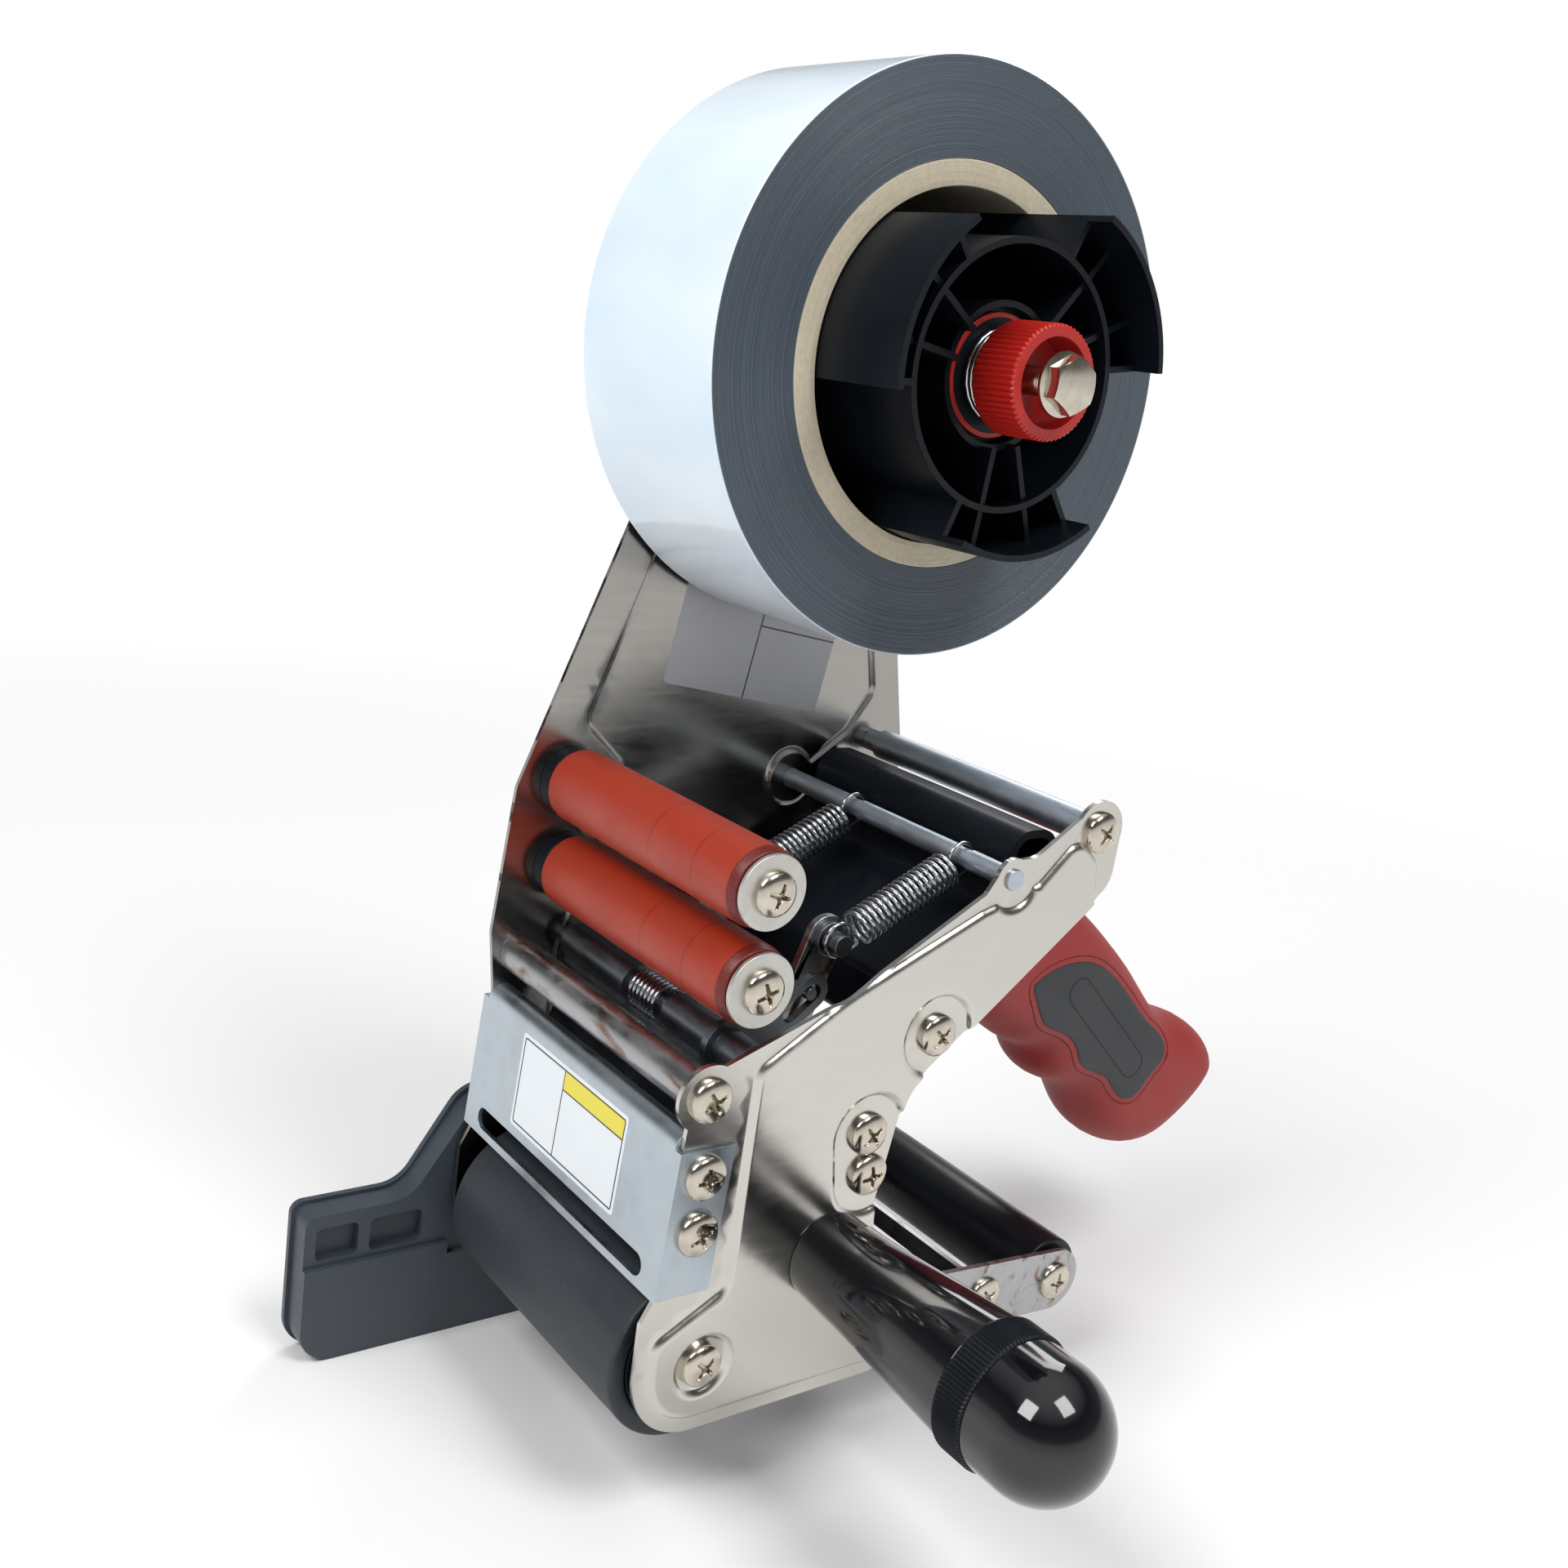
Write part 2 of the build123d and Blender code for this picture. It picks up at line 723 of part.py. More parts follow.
save("guide_roller_axles", *guide_axles)
save("guide_roller_collars", *collars)
save("guide_roller_washers", *washers)
save("guide_roller_screws", *guide_screws)

# Rocker with the rear roller

tube_end_x = arm_outer_x - arm_sheet
rocker_bore = pivot_radius + running_fit
rocker_tube_radius = rocker_bore + rocker_tube_wall
save("rocker_tube", bar(rocker_tube_radius, -tube_end_x, tube_end_x, pivot_at, rocker_bore))


def rocker_arm(side):
    face = strip(rear_roller_at, knee_at, arm_half_height) + strip(knee_at, pivot_at, arm_half_height)
    arm = slab(face, tube_end_x, arm_outer_x) - bar(rocker_bore, tube_end_x, arm_outer_x, pivot_at)
    for place in (rear_roller_at, arm_screw_at):
        arm -= bar(screw_hole_radius, tube_end_x, arm_outer_x, place)
    return along_x(arm, side)


save("rocker_arms", rocker_arm(1), rocker_arm(-1))

crossbar_bottom_z = crossbar_top_z - crossbar_height
crossbar_middle = Pos(crossbar_y, crossbar_top_z - crossbar_height / 2)
crossbar_hollow = Pos(crossbar_y, crossbar_top_z - crossbar_height / 2 + crossbar_wall)
channel = Rectangle(crossbar_depth, crossbar_height)
channel = crossbar_middle * channel
channel -= crossbar_hollow * Rectangle(crossbar_depth - 2 * crossbar_wall, crossbar_height)
tab_low_y = crossbar_y - crossbar_depth / 2
tab_high_y = arm_screw_y + screw_head_radius
tab_low_z = arm_screw_z - crossbar_tab_rise / 2
tab = Pos((tab_low_y + tab_high_y) / 2, arm_screw_z) * Rectangle(tab_high_y - tab_low_y, crossbar_tab_rise)
crossbar = slab(channel, -tube_end_x, tube_end_x)
for side in (1, -1):
    end_tab = slab(tab, tube_end_x - crossbar_wall, tube_end_x)
    end_tab -= bar(screw_hole_radius, tube_end_x - crossbar_wall, tube_end_x, arm_screw_at)
    crossbar += along_x(end_tab, side)
save("rocker_crossbar", crossbar)


def lever(low_x):
    face = strip(post_at, lever_bend_at, lever_half_width) + strip(lever_bend_at, pivot_at, lever_half_width)
    face += Pos(*pivot_at) * Circle(rocker_tube_radius + lever_sheet)
    blank = slab(face, low_x, low_x + lever_sheet)
    blank -= bar(rocker_tube_radius + running_fit, low_x, low_x + lever_sheet, pivot_at)
    return blank - bar(post_radius + running_fit, low_x, low_x + lever_sheet, post_at)


near_lever = lever(near_lever_x)
near_lever -= bar(link_pin_radius + running_fit, near_lever_x, near_lever_x + lever_sheet, link_pin_at)
save("near_lever", near_lever)
save("far_lever", lever(far_lever_x))
posts = []
for low_x in (near_lever_x, far_lever_x):
    outer = low_x + lever_sheet
    post = bar(post_radius, low_x, outer + post_length - lever_sheet, post_at)
    post += bar(bush_radius, outer, outer + bush_length, post_at)
    posts.append(post)
posts.append(bar(link_pin_radius, near_lever_x, near_lever_x + lever_sheet + link_pin_length, link_pin_at))
save("lever_posts", *posts)

rear_axle = tapped(bar(axle_radius, -tube_end_x, tube_end_x, rear_roller_at), rear_roller_at, tube_end_x)
save("rear_roller_axle", rear_axle)
rocker_screws = []
for place in (rear_roller_at, arm_screw_at):
    for side in (1, -1):
        length = screw_length if place is rear_roller_at else screw_length / 2
        rocker_screws.append(pan_screw(place, arm_outer_x, side, length, small_head_height))
save("rocker_screws", *rocker_screws)
covered_roller(
    "rear_roller", rear_roller_radius, rear_rubber,
    -rear_roller_half_length, rear_roller_half_length, rear_roller_at,
)

# Tension springs

save("near_tension_spring", tension_spring(near_spring_x, "near tension spring"))
save("far_tension_spring", tension_spring(far_spring_x, "far tension spring"))

# Blade carriage

sleeve_bore = carriage_shaft_radius + running_fit
sleeve_radius = sleeve_bore + sleeve_wall
holder_low = beside(blade_tip, blade_height, holder_foot_share)
holder_low = (holder_low[0] + holder_sheet, holder_low[1])
holder_high = (carriage_y - sleeve_radius / 3, carriage_z - sleeve_radius - holder_sheet / 2)


def sheet_strip(start, end, thickness):
    reach = (Vector(*end) - Vector(*start)).length
    turn = math.degrees(math.atan2(end[1] - start[1], end[0] - start[0]))
    return Pos(*between(start, end, 1 / 2)) * Rot(0, 0, turn) * Rectangle(reach, thickness)


slot_way = Vector(*slot_way_share)
slot_open = Vector(*link_pin_at) - slot_way * slot_clearance
slot_end = Vector(*link_pin_at) + slot_way * (slot_travel + slot_clearance)
slot_half_width = link_pin_radius + slot_clearance
ear_face = strip(tuple(slot_open)[:2], tuple(slot_end)[:2], slot_half_width + ear_half_width / 2)
ear_face += strip(carriage_at, tuple(slot_end)[:2], ear_half_width)
ear_face += Pos(*carriage_at) * Circle(ear_hub_radius)
ear_face -= strip(tuple(slot_open)[:2], tuple(slot_end)[:2], slot_half_width)
holder = slab(sheet_strip(holder_low, holder_high, holder_sheet), -holder_half_width, holder_half_width)
for low_x, high_x in ((sleeve_low_x, sleeve_high_x), (far_sleeve_low_x, far_sleeve_high_x)):
    holder += bar(sleeve_radius, low_x, high_x, carriage_at)
    neck = sheet_strip(holder_high, carriage_at, 2 * holder_sheet)
    holder += slab(neck, low_x, high_x)
    holder -= bar(sleeve_bore, low_x, high_x, carriage_at)
holder += slab(ear_face, ear_low_x, ear_low_x + ear_sheet)
holder -= bar(sleeve_bore, ear_low_x, ear_low_x + ear_sheet, carriage_at)

# The blade lies on the front of the holder's lower end
blade_way = Vector(holder_high[0] - holder_low[0], holder_high[1] - holder_low[1]).normalized()
blade_out = Vector(-blade_way.Y, blade_way.X)
blade_turn = math.degrees(math.atan2(blade_way.Y, blade_way.X))
blade_shift = (holder_sheet + blade_thickness) / 2
blade_high = Vector(*holder_low) + blade_way * (blade_height * blade_overlap_share) + blade_out * blade_shift
blade_low = blade_high - blade_way * blade_height
tooth_count = int(2 * blade_half_width / blade_pitch)
teeth = [(-blade_half_width, blade_tooth)]
for index in range(tooth_count):
    start_x = -blade_half_width + blade_pitch * index
    teeth += [(start_x + blade_pitch / 2, 0), (start_x + blade_pitch, blade_tooth)]
teeth += [(blade_half_width, blade_height), (-blade_half_width, blade_height)]
blade_plane = Plane(
    origin=Vector(0, blade_low.X, blade_low.Y),
    x_dir=Vector(1, 0, 0),
    z_dir=Vector(1, 0, 0).cross(Vector(0, blade_way.X, blade_way.Y)),
)
blade = extrude(blade_plane * make_face(Polyline(*teeth, close=True)), blade_thickness / 2, both=True)
blade_screws = []
for screw_x in (-blade_screw_x, blade_screw_x):
    seat = blade_high - blade_way * (blade_height * blade_screw_share)
    screw_plane = Plane(origin=Vector(screw_x, seat.X, seat.Y), z_dir=Vector(0, blade_out.X, blade_out.Y))
    reach = blade_thickness / 2
    cutter = extrude(screw_plane * Circle(screw_hole_radius), 2 * holder_sheet, both=True)
    blade -= cutter
    holder -= cutter
    screw = extrude(screw_plane.offset(reach) * Circle(screw_head_radius * 2 / 3), small_head_height / 2)
    shank_plane = screw_plane.offset(-holder_sheet - reach)
    screw += extrude(shank_plane * Circle(screw_radius), holder_sheet + 2 * reach)
    blade_screws.append(screw)
save("blade_holder", holder)
save("cutting_blade", blade)
save("blade_screws", *blade_screws)

save("carriage_shaft", bar(carriage_shaft_radius, -inner_x, inner_x, carriage_at))
torsion_start = (far_sleeve_high_x + sleeve_low_x - torsion_pitch * torsion_turns) / 2
torsion_stations = []
for quarter in range(4 * torsion_turns + 1):
    torsion_stations.append(
        helix_station(
            Vector(torsion_start, *carriage_at), Vector(1, 0, 0), Vector(0, 0, 1), Vector(0, -1, 0),
            torsion_coil_radius, torsion_pitch, quarter / 4,
        )
    )
save("carriage_spring", wire_solid(torsion_stations, torsion_wire_radius, "carriage spring"))

# Blade cover

cover_inner_x = outer_x + running_fit
cover_outer_x = cover_inner_x + cover_sheet
cover_rear_y = cover_front_y + cover_flange_length


def cover_profile(inset):
    """Side outline of the cover, drawn in by an inset from its front and open at the rear."""
    return make_face(Polyline(
        (cover_front_y + inset, cover_bottom_z),
        (cover_front_y + cover_lean + inset, cover_top_z),
        (cover_rear_y, cover_top_z),
        (cover_rear_y - cover_lean, cover_bottom_z),
        close=True,
    ))


cover = slab(cover_profile(0), -cover_outer_x, cover_outer_x)
cover -= slab(cover_profile(cover_sheet), -cover_inner_x, cover_inner_x)
slot_half = inner_x - cover_slot_margin
slot_middle_z = cover_slot_top_z - cover_slot_height / 2
slot_cut = Plane.XZ.offset(-cover_front_y - cover_sheet) * Pos(0, slot_middle_z)
slot_cut = extrude(slot_cut * SlotOverall(2 * slot_half, cover_slot_height), 4 * cover_sheet, both=True)
cover -= slot_cut
curl_at = (cover_front_y + cover_lean + cover_curl_radius, cover_top_z)
curl_end_x = inner_x - slip_fit
curl = bar(cover_curl_radius, -curl_end_x, curl_end_x, curl_at, cover_curl_radius - cover_sheet)
curl_keep = Pos(curl_at[0], cover_top_z + cover_curl_radius)
curl_keep *= Rectangle(2 * cover_curl_radius, 2 * cover_curl_radius)
cover += curl & slab(curl_keep, -inner_x, inner_x)
for place in cover_screw_places:
    cover -= bar(screw_hole_radius, -cover_outer_x, cover_outer_x, place)
save("blade_cover", cover)
cover_screws = []
for place in cover_screw_places:
    for side in (1, -1):
        cover_screws.append(pan_screw(place, cover_outer_x, side, plate_sheet + cover_sheet + slip_fit))
save("cover_screws", *cover_screws)

# Body shell and tang

tang_root_at = between(crest_at, grip_top_at, tang_root_share)
shell_corners = (
    (beside(crest_at, crest_radius, (-1.0, 1.0)), crest_radius),
    (beside(crest_at, crest_radius, (1.0, 1.0)), crest_radius),
    (beside(rear_tube_at, ear_radius, (0.2, -1.9)), crest_radius),
    (beside(body_screw_at, shell_boss_radius, (1.2, -0.8)), crest_radius),
    (beside(body_screw_at, shell_boss_radius, (-1.0, -1.0)), shell_boss_radius / 2),
    (beside(body_screw_at, shell_boss_radius, (-1.0, 1.5)), shell_boss_radius / 2),
    (beside(crest_at, crest_radius, (-1.0, -2.2)), crest_radius / 2),
)
shell_face = rounded([place for place, radius in shell_corners], [radius for place, radius in shell_corners])
shell = slab(shell_face, -shell_half_width, shell_half_width)
shell -= slab(offset(shell_face, -shell_wall), -shell_half_width, shell_half_width)
shell += bar(shell_boss_radius, -inner_x, inner_x, body_screw_at)
shell = tapped(shell, body_screw_at, inner_x)


def tang_outline(grow):
    """Side outline of the tang, from inside the shell down into the grip."""
    outline = strip(tang_root_at, grip_top_at, crest_radius + grow)
    return outline + strip(grip_top_at, tang_end_at, tang_half_height + grow)


shell += slab(tang_outline(0), -tang_half_thickness, tang_half_thickness)
grip_pin_places = [between(grip_top_at, tang_end_at, share) for share in grip_pin_shares]
for place in grip_pin_places:
    shell -= bar(grip_pin_radius + running_fit, -tang_half_thickness, tang_half_thickness, place)
save("body_shell", shell)

# Pistol grip: its outline follows a straight axis, in shares of the axis length

grip_start = Vector(grip_top_y, grip_top_z)
grip_axis = Vector(grip_end_y, grip_end_z) - grip_start
grip_length = grip_axis.length
grip_way = grip_axis.normalized()
grip_up = Vector(-grip_way.Y, grip_way.X)


def on_grip(share):
    point = grip_start + grip_way * (grip_length * share[0]) + grip_up * (grip_length * share[1])
    return (point.X, point.Y)


grip_shares = (
    (0.1, 0.285), (0.216, 0.27), (0.33, 0.245), (0.44, 0.217), (0.60, 0.163), (0.73, 0.137),
    (0.835, 0.15), (0.94, 0.152), (1.025, 0.127), (1.072, 0.08), (1.082, 0.01), (1.06, -0.08),
    (1.005, -0.185), (0.94, -0.265), (0.85, -0.315), (0.735, -0.328), (0.62, -0.3), (0.525, -0.25),
    (0.455, -0.228), (0.35, -0.237), (0.26, -0.213), (0.2, -0.178), (0.13, -0.178), (0.04, -0.168),
    (-0.06, -0.165), (-0.18, -0.15), (-0.29, -0.1), (-0.38, -0.01), (-0.42, 0.1), (-0.36, 0.22),
    (-0.22, 0.28), (-0.06, 0.295),
)
panel_shares = (
    (-0.015, 0.017), (0.04, 0.085), (0.11, 0.13), (0.19, 0.153), (0.3, 0.15), (0.46, 0.11),
    (0.6, 0.077), (0.69, 0.056), (0.718, 0.02), (0.70, -0.07), (0.672, -0.15), (0.61, -0.17),
    (0.51, -0.138), (0.42, -0.14), (0.35, -0.132), (0.29, -0.095), (0.217, -0.08), (0.118, -0.082),
    (0.035, -0.04),
)
grip_face = make_face(Spline(*[on_grip(share) for share in grip_shares], periodic=True))
panel_face = make_face(Spline(*[on_grip(share) for share in panel_shares], periodic=True))
grip = slab(grip_face, -grip_half_width, grip_half_width)
grip = fillet(grip.faces().filter_by(Axis.X).edges(), grip_edge_radius)
tang_room_half = tang_half_thickness + slip_fit
grip -= slab(tang_outline(slip_fit), -tang_room_half, tang_room_half)
grip_panels = []
panel_low_x = grip_half_width - panel_thickness + panel_stand
for side in (1, -1):
    grip -= along_x(slab(panel_face, panel_low_x, 2 * grip_half_width), side)
    grip_panels.append(along_x(slab(panel_face, panel_low_x, grip_half_width + panel_stand), side))
grip -= slab(shell_face, -shell_half_width, shell_half_width)
grip_pins = []
for place in grip_pin_places:
    grip -= bar(grip_pin_radius + running_fit, -panel_low_x, panel_low_x, place)
    grip_pins.append(bar(grip_pin_radius, -panel_low_x, panel_low_x, place))
save("grip_rubber", grip)
save("grip_panels", *grip_panels)
save("grip_pins", *grip_pins)

# Side handle

save("handle_stud", bar(stud_radius, inner_x - stud_seat, handle_end_x, pivot_at))
handle_waist_x = panel_x + (handle_end_x - panel_x) * handle_waist_share[0]
handle_waist_radius = handle_base_radius + (handle_end_radius - handle_base_radius) * handle_waist_share[1]
handle_profile = make_face(Polyline(
    (panel_x, 0),
    (panel_x, handle_base_radius),
    (handle_waist_x, handle_waist_radius),
    (handle_end_x, handle_end_radius),
    (handle_end_x, 0),
    close=True,
))
handle_tube = Pos(0, *pivot_at) * revolve(handle_profile, Axis.X)
handle_tube -= bar(stud_radius + running_fit, panel_x, handle_end_x, pivot_at)
save("handle_tube", handle_tube)
ring_end_x = handle_end_x + handle_ring_length
save("handle_ring", ribbed_ring(
    handle_ring_radius, handle_rib_depth, handle_rib_count, handle_end_x, ring_end_x, pivot_at
))
dome_radius = handle_ring_radius - handle_rib_depth
dome_start = ring_end_x + (handle_dome_length - dome_radius)
dome = bar(dome_radius, ring_end_x, dome_start, pivot_at)
ball = Pos(dome_start, *pivot_at) * Sphere(dome_radius)
ball &= slab(Pos(*pivot_at) * Circle(2 * dome_radius), dome_start, dome_start + 2 * dome_radius)
save("handle_cap", dome + ball)

# Tape core, roll and mandrel

save("tape_core", bar(core_outer_radius, roll_low_x, roll_high_x, mandrel_at, core_bore_radius))
save("tape_roll", bar(roll_radius, roll_low_x, roll_high_x, mandrel_at, core_outer_radius + running_fit))

hub_back_x = -inner_x + hub_back_gap
hub_rear_x = hub_back_x + hub_wall
bolt_room = mandrel_bush_radius + running_fit
hub = bar(hub_fin_radius, hub_back_x, hub_rear_x, mandrel_at, bolt_room)
hub += bar(hub_ring_radius, hub_rear_x, hub_ring_x, mandrel_at, hub_ring_radius - hub_wall)
hub += bar(hub_boss_radius, hub_rear_x, hub_boss_x, mandrel_at, hub_boss_radius - hub_wall)
hub += bar(hub_boss_radius, hub_floor_x, hub_floor_x + hub_floor, mandrel_at, mandrel_bolt_radius + seat_gap)
hub += bar(bolt_room + hub_wall, hub_rear_x, hub_back_x + mandrel_bush_length, mandrel_at, bolt_room)
bush_seat_x = hub_floor_x - mandrel_bush_length
hub += bar(bolt_room + hub_wall, bush_seat_x, hub_floor_x, mandrel_at, bolt_room)
hub += bar(hub_boss_radius - hub_wall / 2, bush_seat_x, bush_seat_x + hub_wall, mandrel_at, bolt_room)


def wedge(radius, start_degrees, span_degrees):
    """Pie slice that reaches past a radius."""
    points = [mandrel_at]
    for step in range(wedge_steps + 1):
        turn = math.radians(start_degrees + span_degrees * step / wedge_steps)
        points.append((2 * radius * math.cos(turn), 2 * radius * math.sin(turn)))
    return make_face(Polyline(*points, close=True))


def radial_rib(degrees, low_radius, high_radius):
    blank = Pos((low_radius + high_radius) / 2, 0) * Rectangle(high_radius - low_radius, hub_wall)
    return Rot(0, 0, degrees) * blank


fin_ring = Circle(hub_fin_radius) - Circle(hub_fin_radius - hub_wall)
rib_end = hub_fin_radius - hub_wall / 2
for index in range(fin_count):
    start = first_fin_degrees + 360 / fin_count * index
    middle = start + fin_span_degrees / 2
    fin = fin_ring & wedge(hub_fin_radius, start, fin_span_degrees)
    hub += slab(fin, hub_rear_x, hub_fin_x)
    edge_turn = math.degrees(hub_wall / 2 / hub_fin_radius)
    for degrees in (start + edge_turn, start + fin_span_degrees - edge_turn):
        hub += slab(radial_rib(degrees, hub_ring_radius - hub_wall / 2, rib_end), hub_rear_x, hub_ring_x)
    for degrees in (middle - fin_rib_degrees, middle + fin_rib_degrees):
        rib = radial_rib(degrees, hub_boss_radius - hub_wall / 2, rib_end)
        hub += slab(rib, hub_rear_x, hub_ring_x - hub_wall)
save("mandrel_hub", hub)

bush_bore = mandrel_bolt_radius + running_fit
bushes = [
    bar(mandrel_bush_radius, hub_back_x, hub_back_x + mandrel_bush_length, mandrel_at, bush_bore),
    bar(mandrel_bush_radius, bush_seat_x, hub_floor_x, mandrel_at, bush_bore),
]
save("mandrel_bushes", *bushes)


def hexagon(across, low_x, high_x):
    return slab(RegularPolygon(across / 2, 6, major_radius=False), low_x, high_x)


bolt = bar(mandrel_bolt_radius, -panel_x - lock_nut_height - rivet_height, bolt_head_x, mandrel_at)
bolt += bar(bolt_flange_radius, bolt_head_x, bolt_head_x + bolt_flange_height, mandrel_at)
bolt += hexagon(bolt_hex_across, bolt_head_x + bolt_flange_height, bolt_head_x + bolt_hex_height)
save("mandrel_bolt", bolt)
nut = hexagon(bolt_hex_across, -panel_x - lock_nut_height, -panel_x)
nut -= bar(mandrel_bolt_radius + running_fit, -panel_x - lock_nut_height, -panel_x, mandrel_at)
spacer = bar(mandrel_bush_radius, -inner_x, -inner_x + hub_back_gap - running_fit, mandrel_at, bush_bore)
save("mandrel_lock_nut", nut, spacer)

flange_x = hub_floor_x + hub_floor + seat_gap
flange_top_x = flange_x + brake_flange_thickness
flange = bar(brake_flange_radius, flange_x, flange_top_x, mandrel_at, bush_bore)
save("brake_flange", flange)

knob = ribbed_ring(knob_radius, knob_rib_depth, knob_rib_count, knob_low_x, knob_high_x, mandrel_at)
knob_hollow = knob_radius - knob_wall
knob -= bar(knob_hollow, knob_low_x, knob_web_low_x, mandrel_at)
knob -= bar(knob_hollow, knob_web_low_x + knob_web, knob_high_x, mandrel_at)
knob -= bar(bush_bore, knob_web_low_x, knob_web_low_x + knob_web, mandrel_at)
save("brake_knob", knob)

coil_start_x = flange_top_x + seat_gap + spring_wire_radius
coil_length = knob_web_low_x - seat_gap - spring_wire_radius - coil_start_x
brake_stations = []
for quarter in range(4 * brake_turns + 1):
    brake_stations.append(
        helix_station(
            Vector(coil_start_x, *mandrel_at), Vector(1, 0, 0), Vector(0, 1, 0), Vector(0, 0, 1),
            brake_coil_radius, coil_length / brake_turns, quarter / 4,
        )
    )
save("brake_spring", wire_solid(brake_stations, spring_wire_radius, "brake spring"))

# Side guide

guide_high_x = -panel_x
guide_low_x = guide_high_x - guide_body


def guide_outline(grow):
    """Side outline of the guide: a long block with a round lobe about the front roller's axle."""
    top_z = guide_top_z + grow
    lobe_top_z = front_roller_z + guide_lobe_radius + grow
    corners = (
        ((guide_front_y - grow, guide_bottom_z), guide_corner_radius),
        ((guide_front_y - grow, top_z), guide_corner_radius / 3),
        ((front_roller_y - guide_lobe_foot, top_z), guide_fillet_radius),
        ((front_roller_y - guide_lobe_radius / 2 - grow, lobe_top_z), guide_fillet_radius),
        ((front_roller_y + guide_lobe_radius / 2 + grow, lobe_top_z), guide_fillet_radius),
        ((front_roller_y + guide_lobe_foot, top_z), guide_fillet_radius),
        ((guide_rear_y, top_z), guide_corner_radius / 3),
        ((guide_rear_y, guide_bottom_z), guide_corner_radius / 3),
    )
    return rounded([place for place, radius in corners], [radius for place, radius in corners])


guide = slab(guide_outline(0), guide_low_x, guide_high_x)
guide += slab(guide_outline(guide_lip), guide_low_x - guide_lip_sheet, guide_low_x)
step_rear_y = front_roller_y - foot_corner_radius - seat_gap
step_top_z = plate_bottom_z - seat_gap
step_corners = (
    ((guide_front_y, guide_bottom_z), guide_corner_radius),
    ((guide_front_y, guide_ledge_z), 0),
    ((step_rear_y, guide_ledge_z), 0),
    ((step_rear_y, step_top_z), 0),
    ((guide_rear_y, step_top_z), 0),
    ((guide_rear_y, guide_bottom_z), guide_corner_radius / 3),
)
step_face = rounded([place for place, radius in step_corners], [radius for place, radius in step_corners])
guide += slab(step_face, guide_high_x, guide_high_x + guide_step)
pocket_high_y = [guide_rib_y - guide_rib / 2, guide_pocket_rear_y]
pocket_low_y = [guide_pocket_front_y, guide_rib_y + guide_rib / 2]
pocket_height = guide_pocket_top_z - guide_pocket_bottom_z
for low_y, high_y in zip(pocket_low_y, pocket_high_y):
    place = Pos((low_y + high_y) / 2, (guide_pocket_top_z + guide_pocket_bottom_z) / 2)
    pocket = place * RectangleRounded(high_y - low_y, pocket_height, guide_rib / 2)
    guide -= slab(pocket, guide_high_x - guide_pocket_depth, guide_high_x)
head_room = screw_head_radius + seat_gap
guide -= bar(head_room, guide_low_x - 2 * guide_lip_sheet, guide_high_x + guide_step, front_roller_at)
flange_room = Pos((cover_front_y + cover_rear_y) / 2, (cover_top_z + cover_bottom_z) / 2)
flange_room *= Rectangle(cover_flange_length + 2 * seat_gap, cover_top_z - cover_bottom_z + 2 * seat_gap)
guide -= slab(flange_room, -cover_outer_x - seat_gap, guide_high_x + guide_step)
guide_bolts = []
bolt_low_x = guide_low_x - guide_lip_sheet
guide_bolt_places = (
    beside(front_roller_at, foot_corner_radius, (0.75, 0.35)), (pivot_y, plate_bottom_z + bead_margin * 2)
)
for place in guide_bolt_places:
    guide -= bar(screw_hole_radius, bolt_low_x, guide_high_x, place)
    guide_bolts.append(pan_screw(place, -bolt_low_x, -1, guide_body + guide_lip_sheet))
save("side_guide", guide)
save("guide_mount_screws", *guide_bolts)
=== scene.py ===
import json
import math
import random

import bmesh
import bpy
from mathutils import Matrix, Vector
from mathutils.bvhtree import BVHTree
from mathutils.geometry import delaunay_2d_cdt
from mathutils.kdtree import KDTree


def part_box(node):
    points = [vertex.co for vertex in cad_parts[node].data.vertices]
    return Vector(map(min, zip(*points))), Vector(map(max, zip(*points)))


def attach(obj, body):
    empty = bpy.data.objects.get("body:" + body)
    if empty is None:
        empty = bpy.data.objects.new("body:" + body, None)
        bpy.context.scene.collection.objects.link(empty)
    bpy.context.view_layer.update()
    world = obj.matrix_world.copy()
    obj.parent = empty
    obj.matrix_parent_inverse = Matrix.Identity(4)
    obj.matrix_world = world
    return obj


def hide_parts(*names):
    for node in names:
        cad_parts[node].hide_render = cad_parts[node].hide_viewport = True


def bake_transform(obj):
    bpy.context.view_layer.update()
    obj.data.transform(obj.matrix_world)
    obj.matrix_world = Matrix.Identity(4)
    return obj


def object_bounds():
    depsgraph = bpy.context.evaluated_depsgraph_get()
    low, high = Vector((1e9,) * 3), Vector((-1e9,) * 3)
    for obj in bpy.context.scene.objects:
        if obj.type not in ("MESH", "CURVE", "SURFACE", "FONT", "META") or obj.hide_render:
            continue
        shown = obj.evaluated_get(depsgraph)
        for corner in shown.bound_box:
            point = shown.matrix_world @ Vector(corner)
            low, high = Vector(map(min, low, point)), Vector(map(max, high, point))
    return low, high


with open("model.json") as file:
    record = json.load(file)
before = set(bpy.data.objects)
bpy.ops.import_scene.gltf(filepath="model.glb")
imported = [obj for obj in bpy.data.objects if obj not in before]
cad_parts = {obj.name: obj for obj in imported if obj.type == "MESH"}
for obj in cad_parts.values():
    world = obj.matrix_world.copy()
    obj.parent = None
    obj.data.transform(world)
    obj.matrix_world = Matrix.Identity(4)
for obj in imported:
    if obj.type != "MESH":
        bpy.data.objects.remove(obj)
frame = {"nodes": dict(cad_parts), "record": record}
cad_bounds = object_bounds()

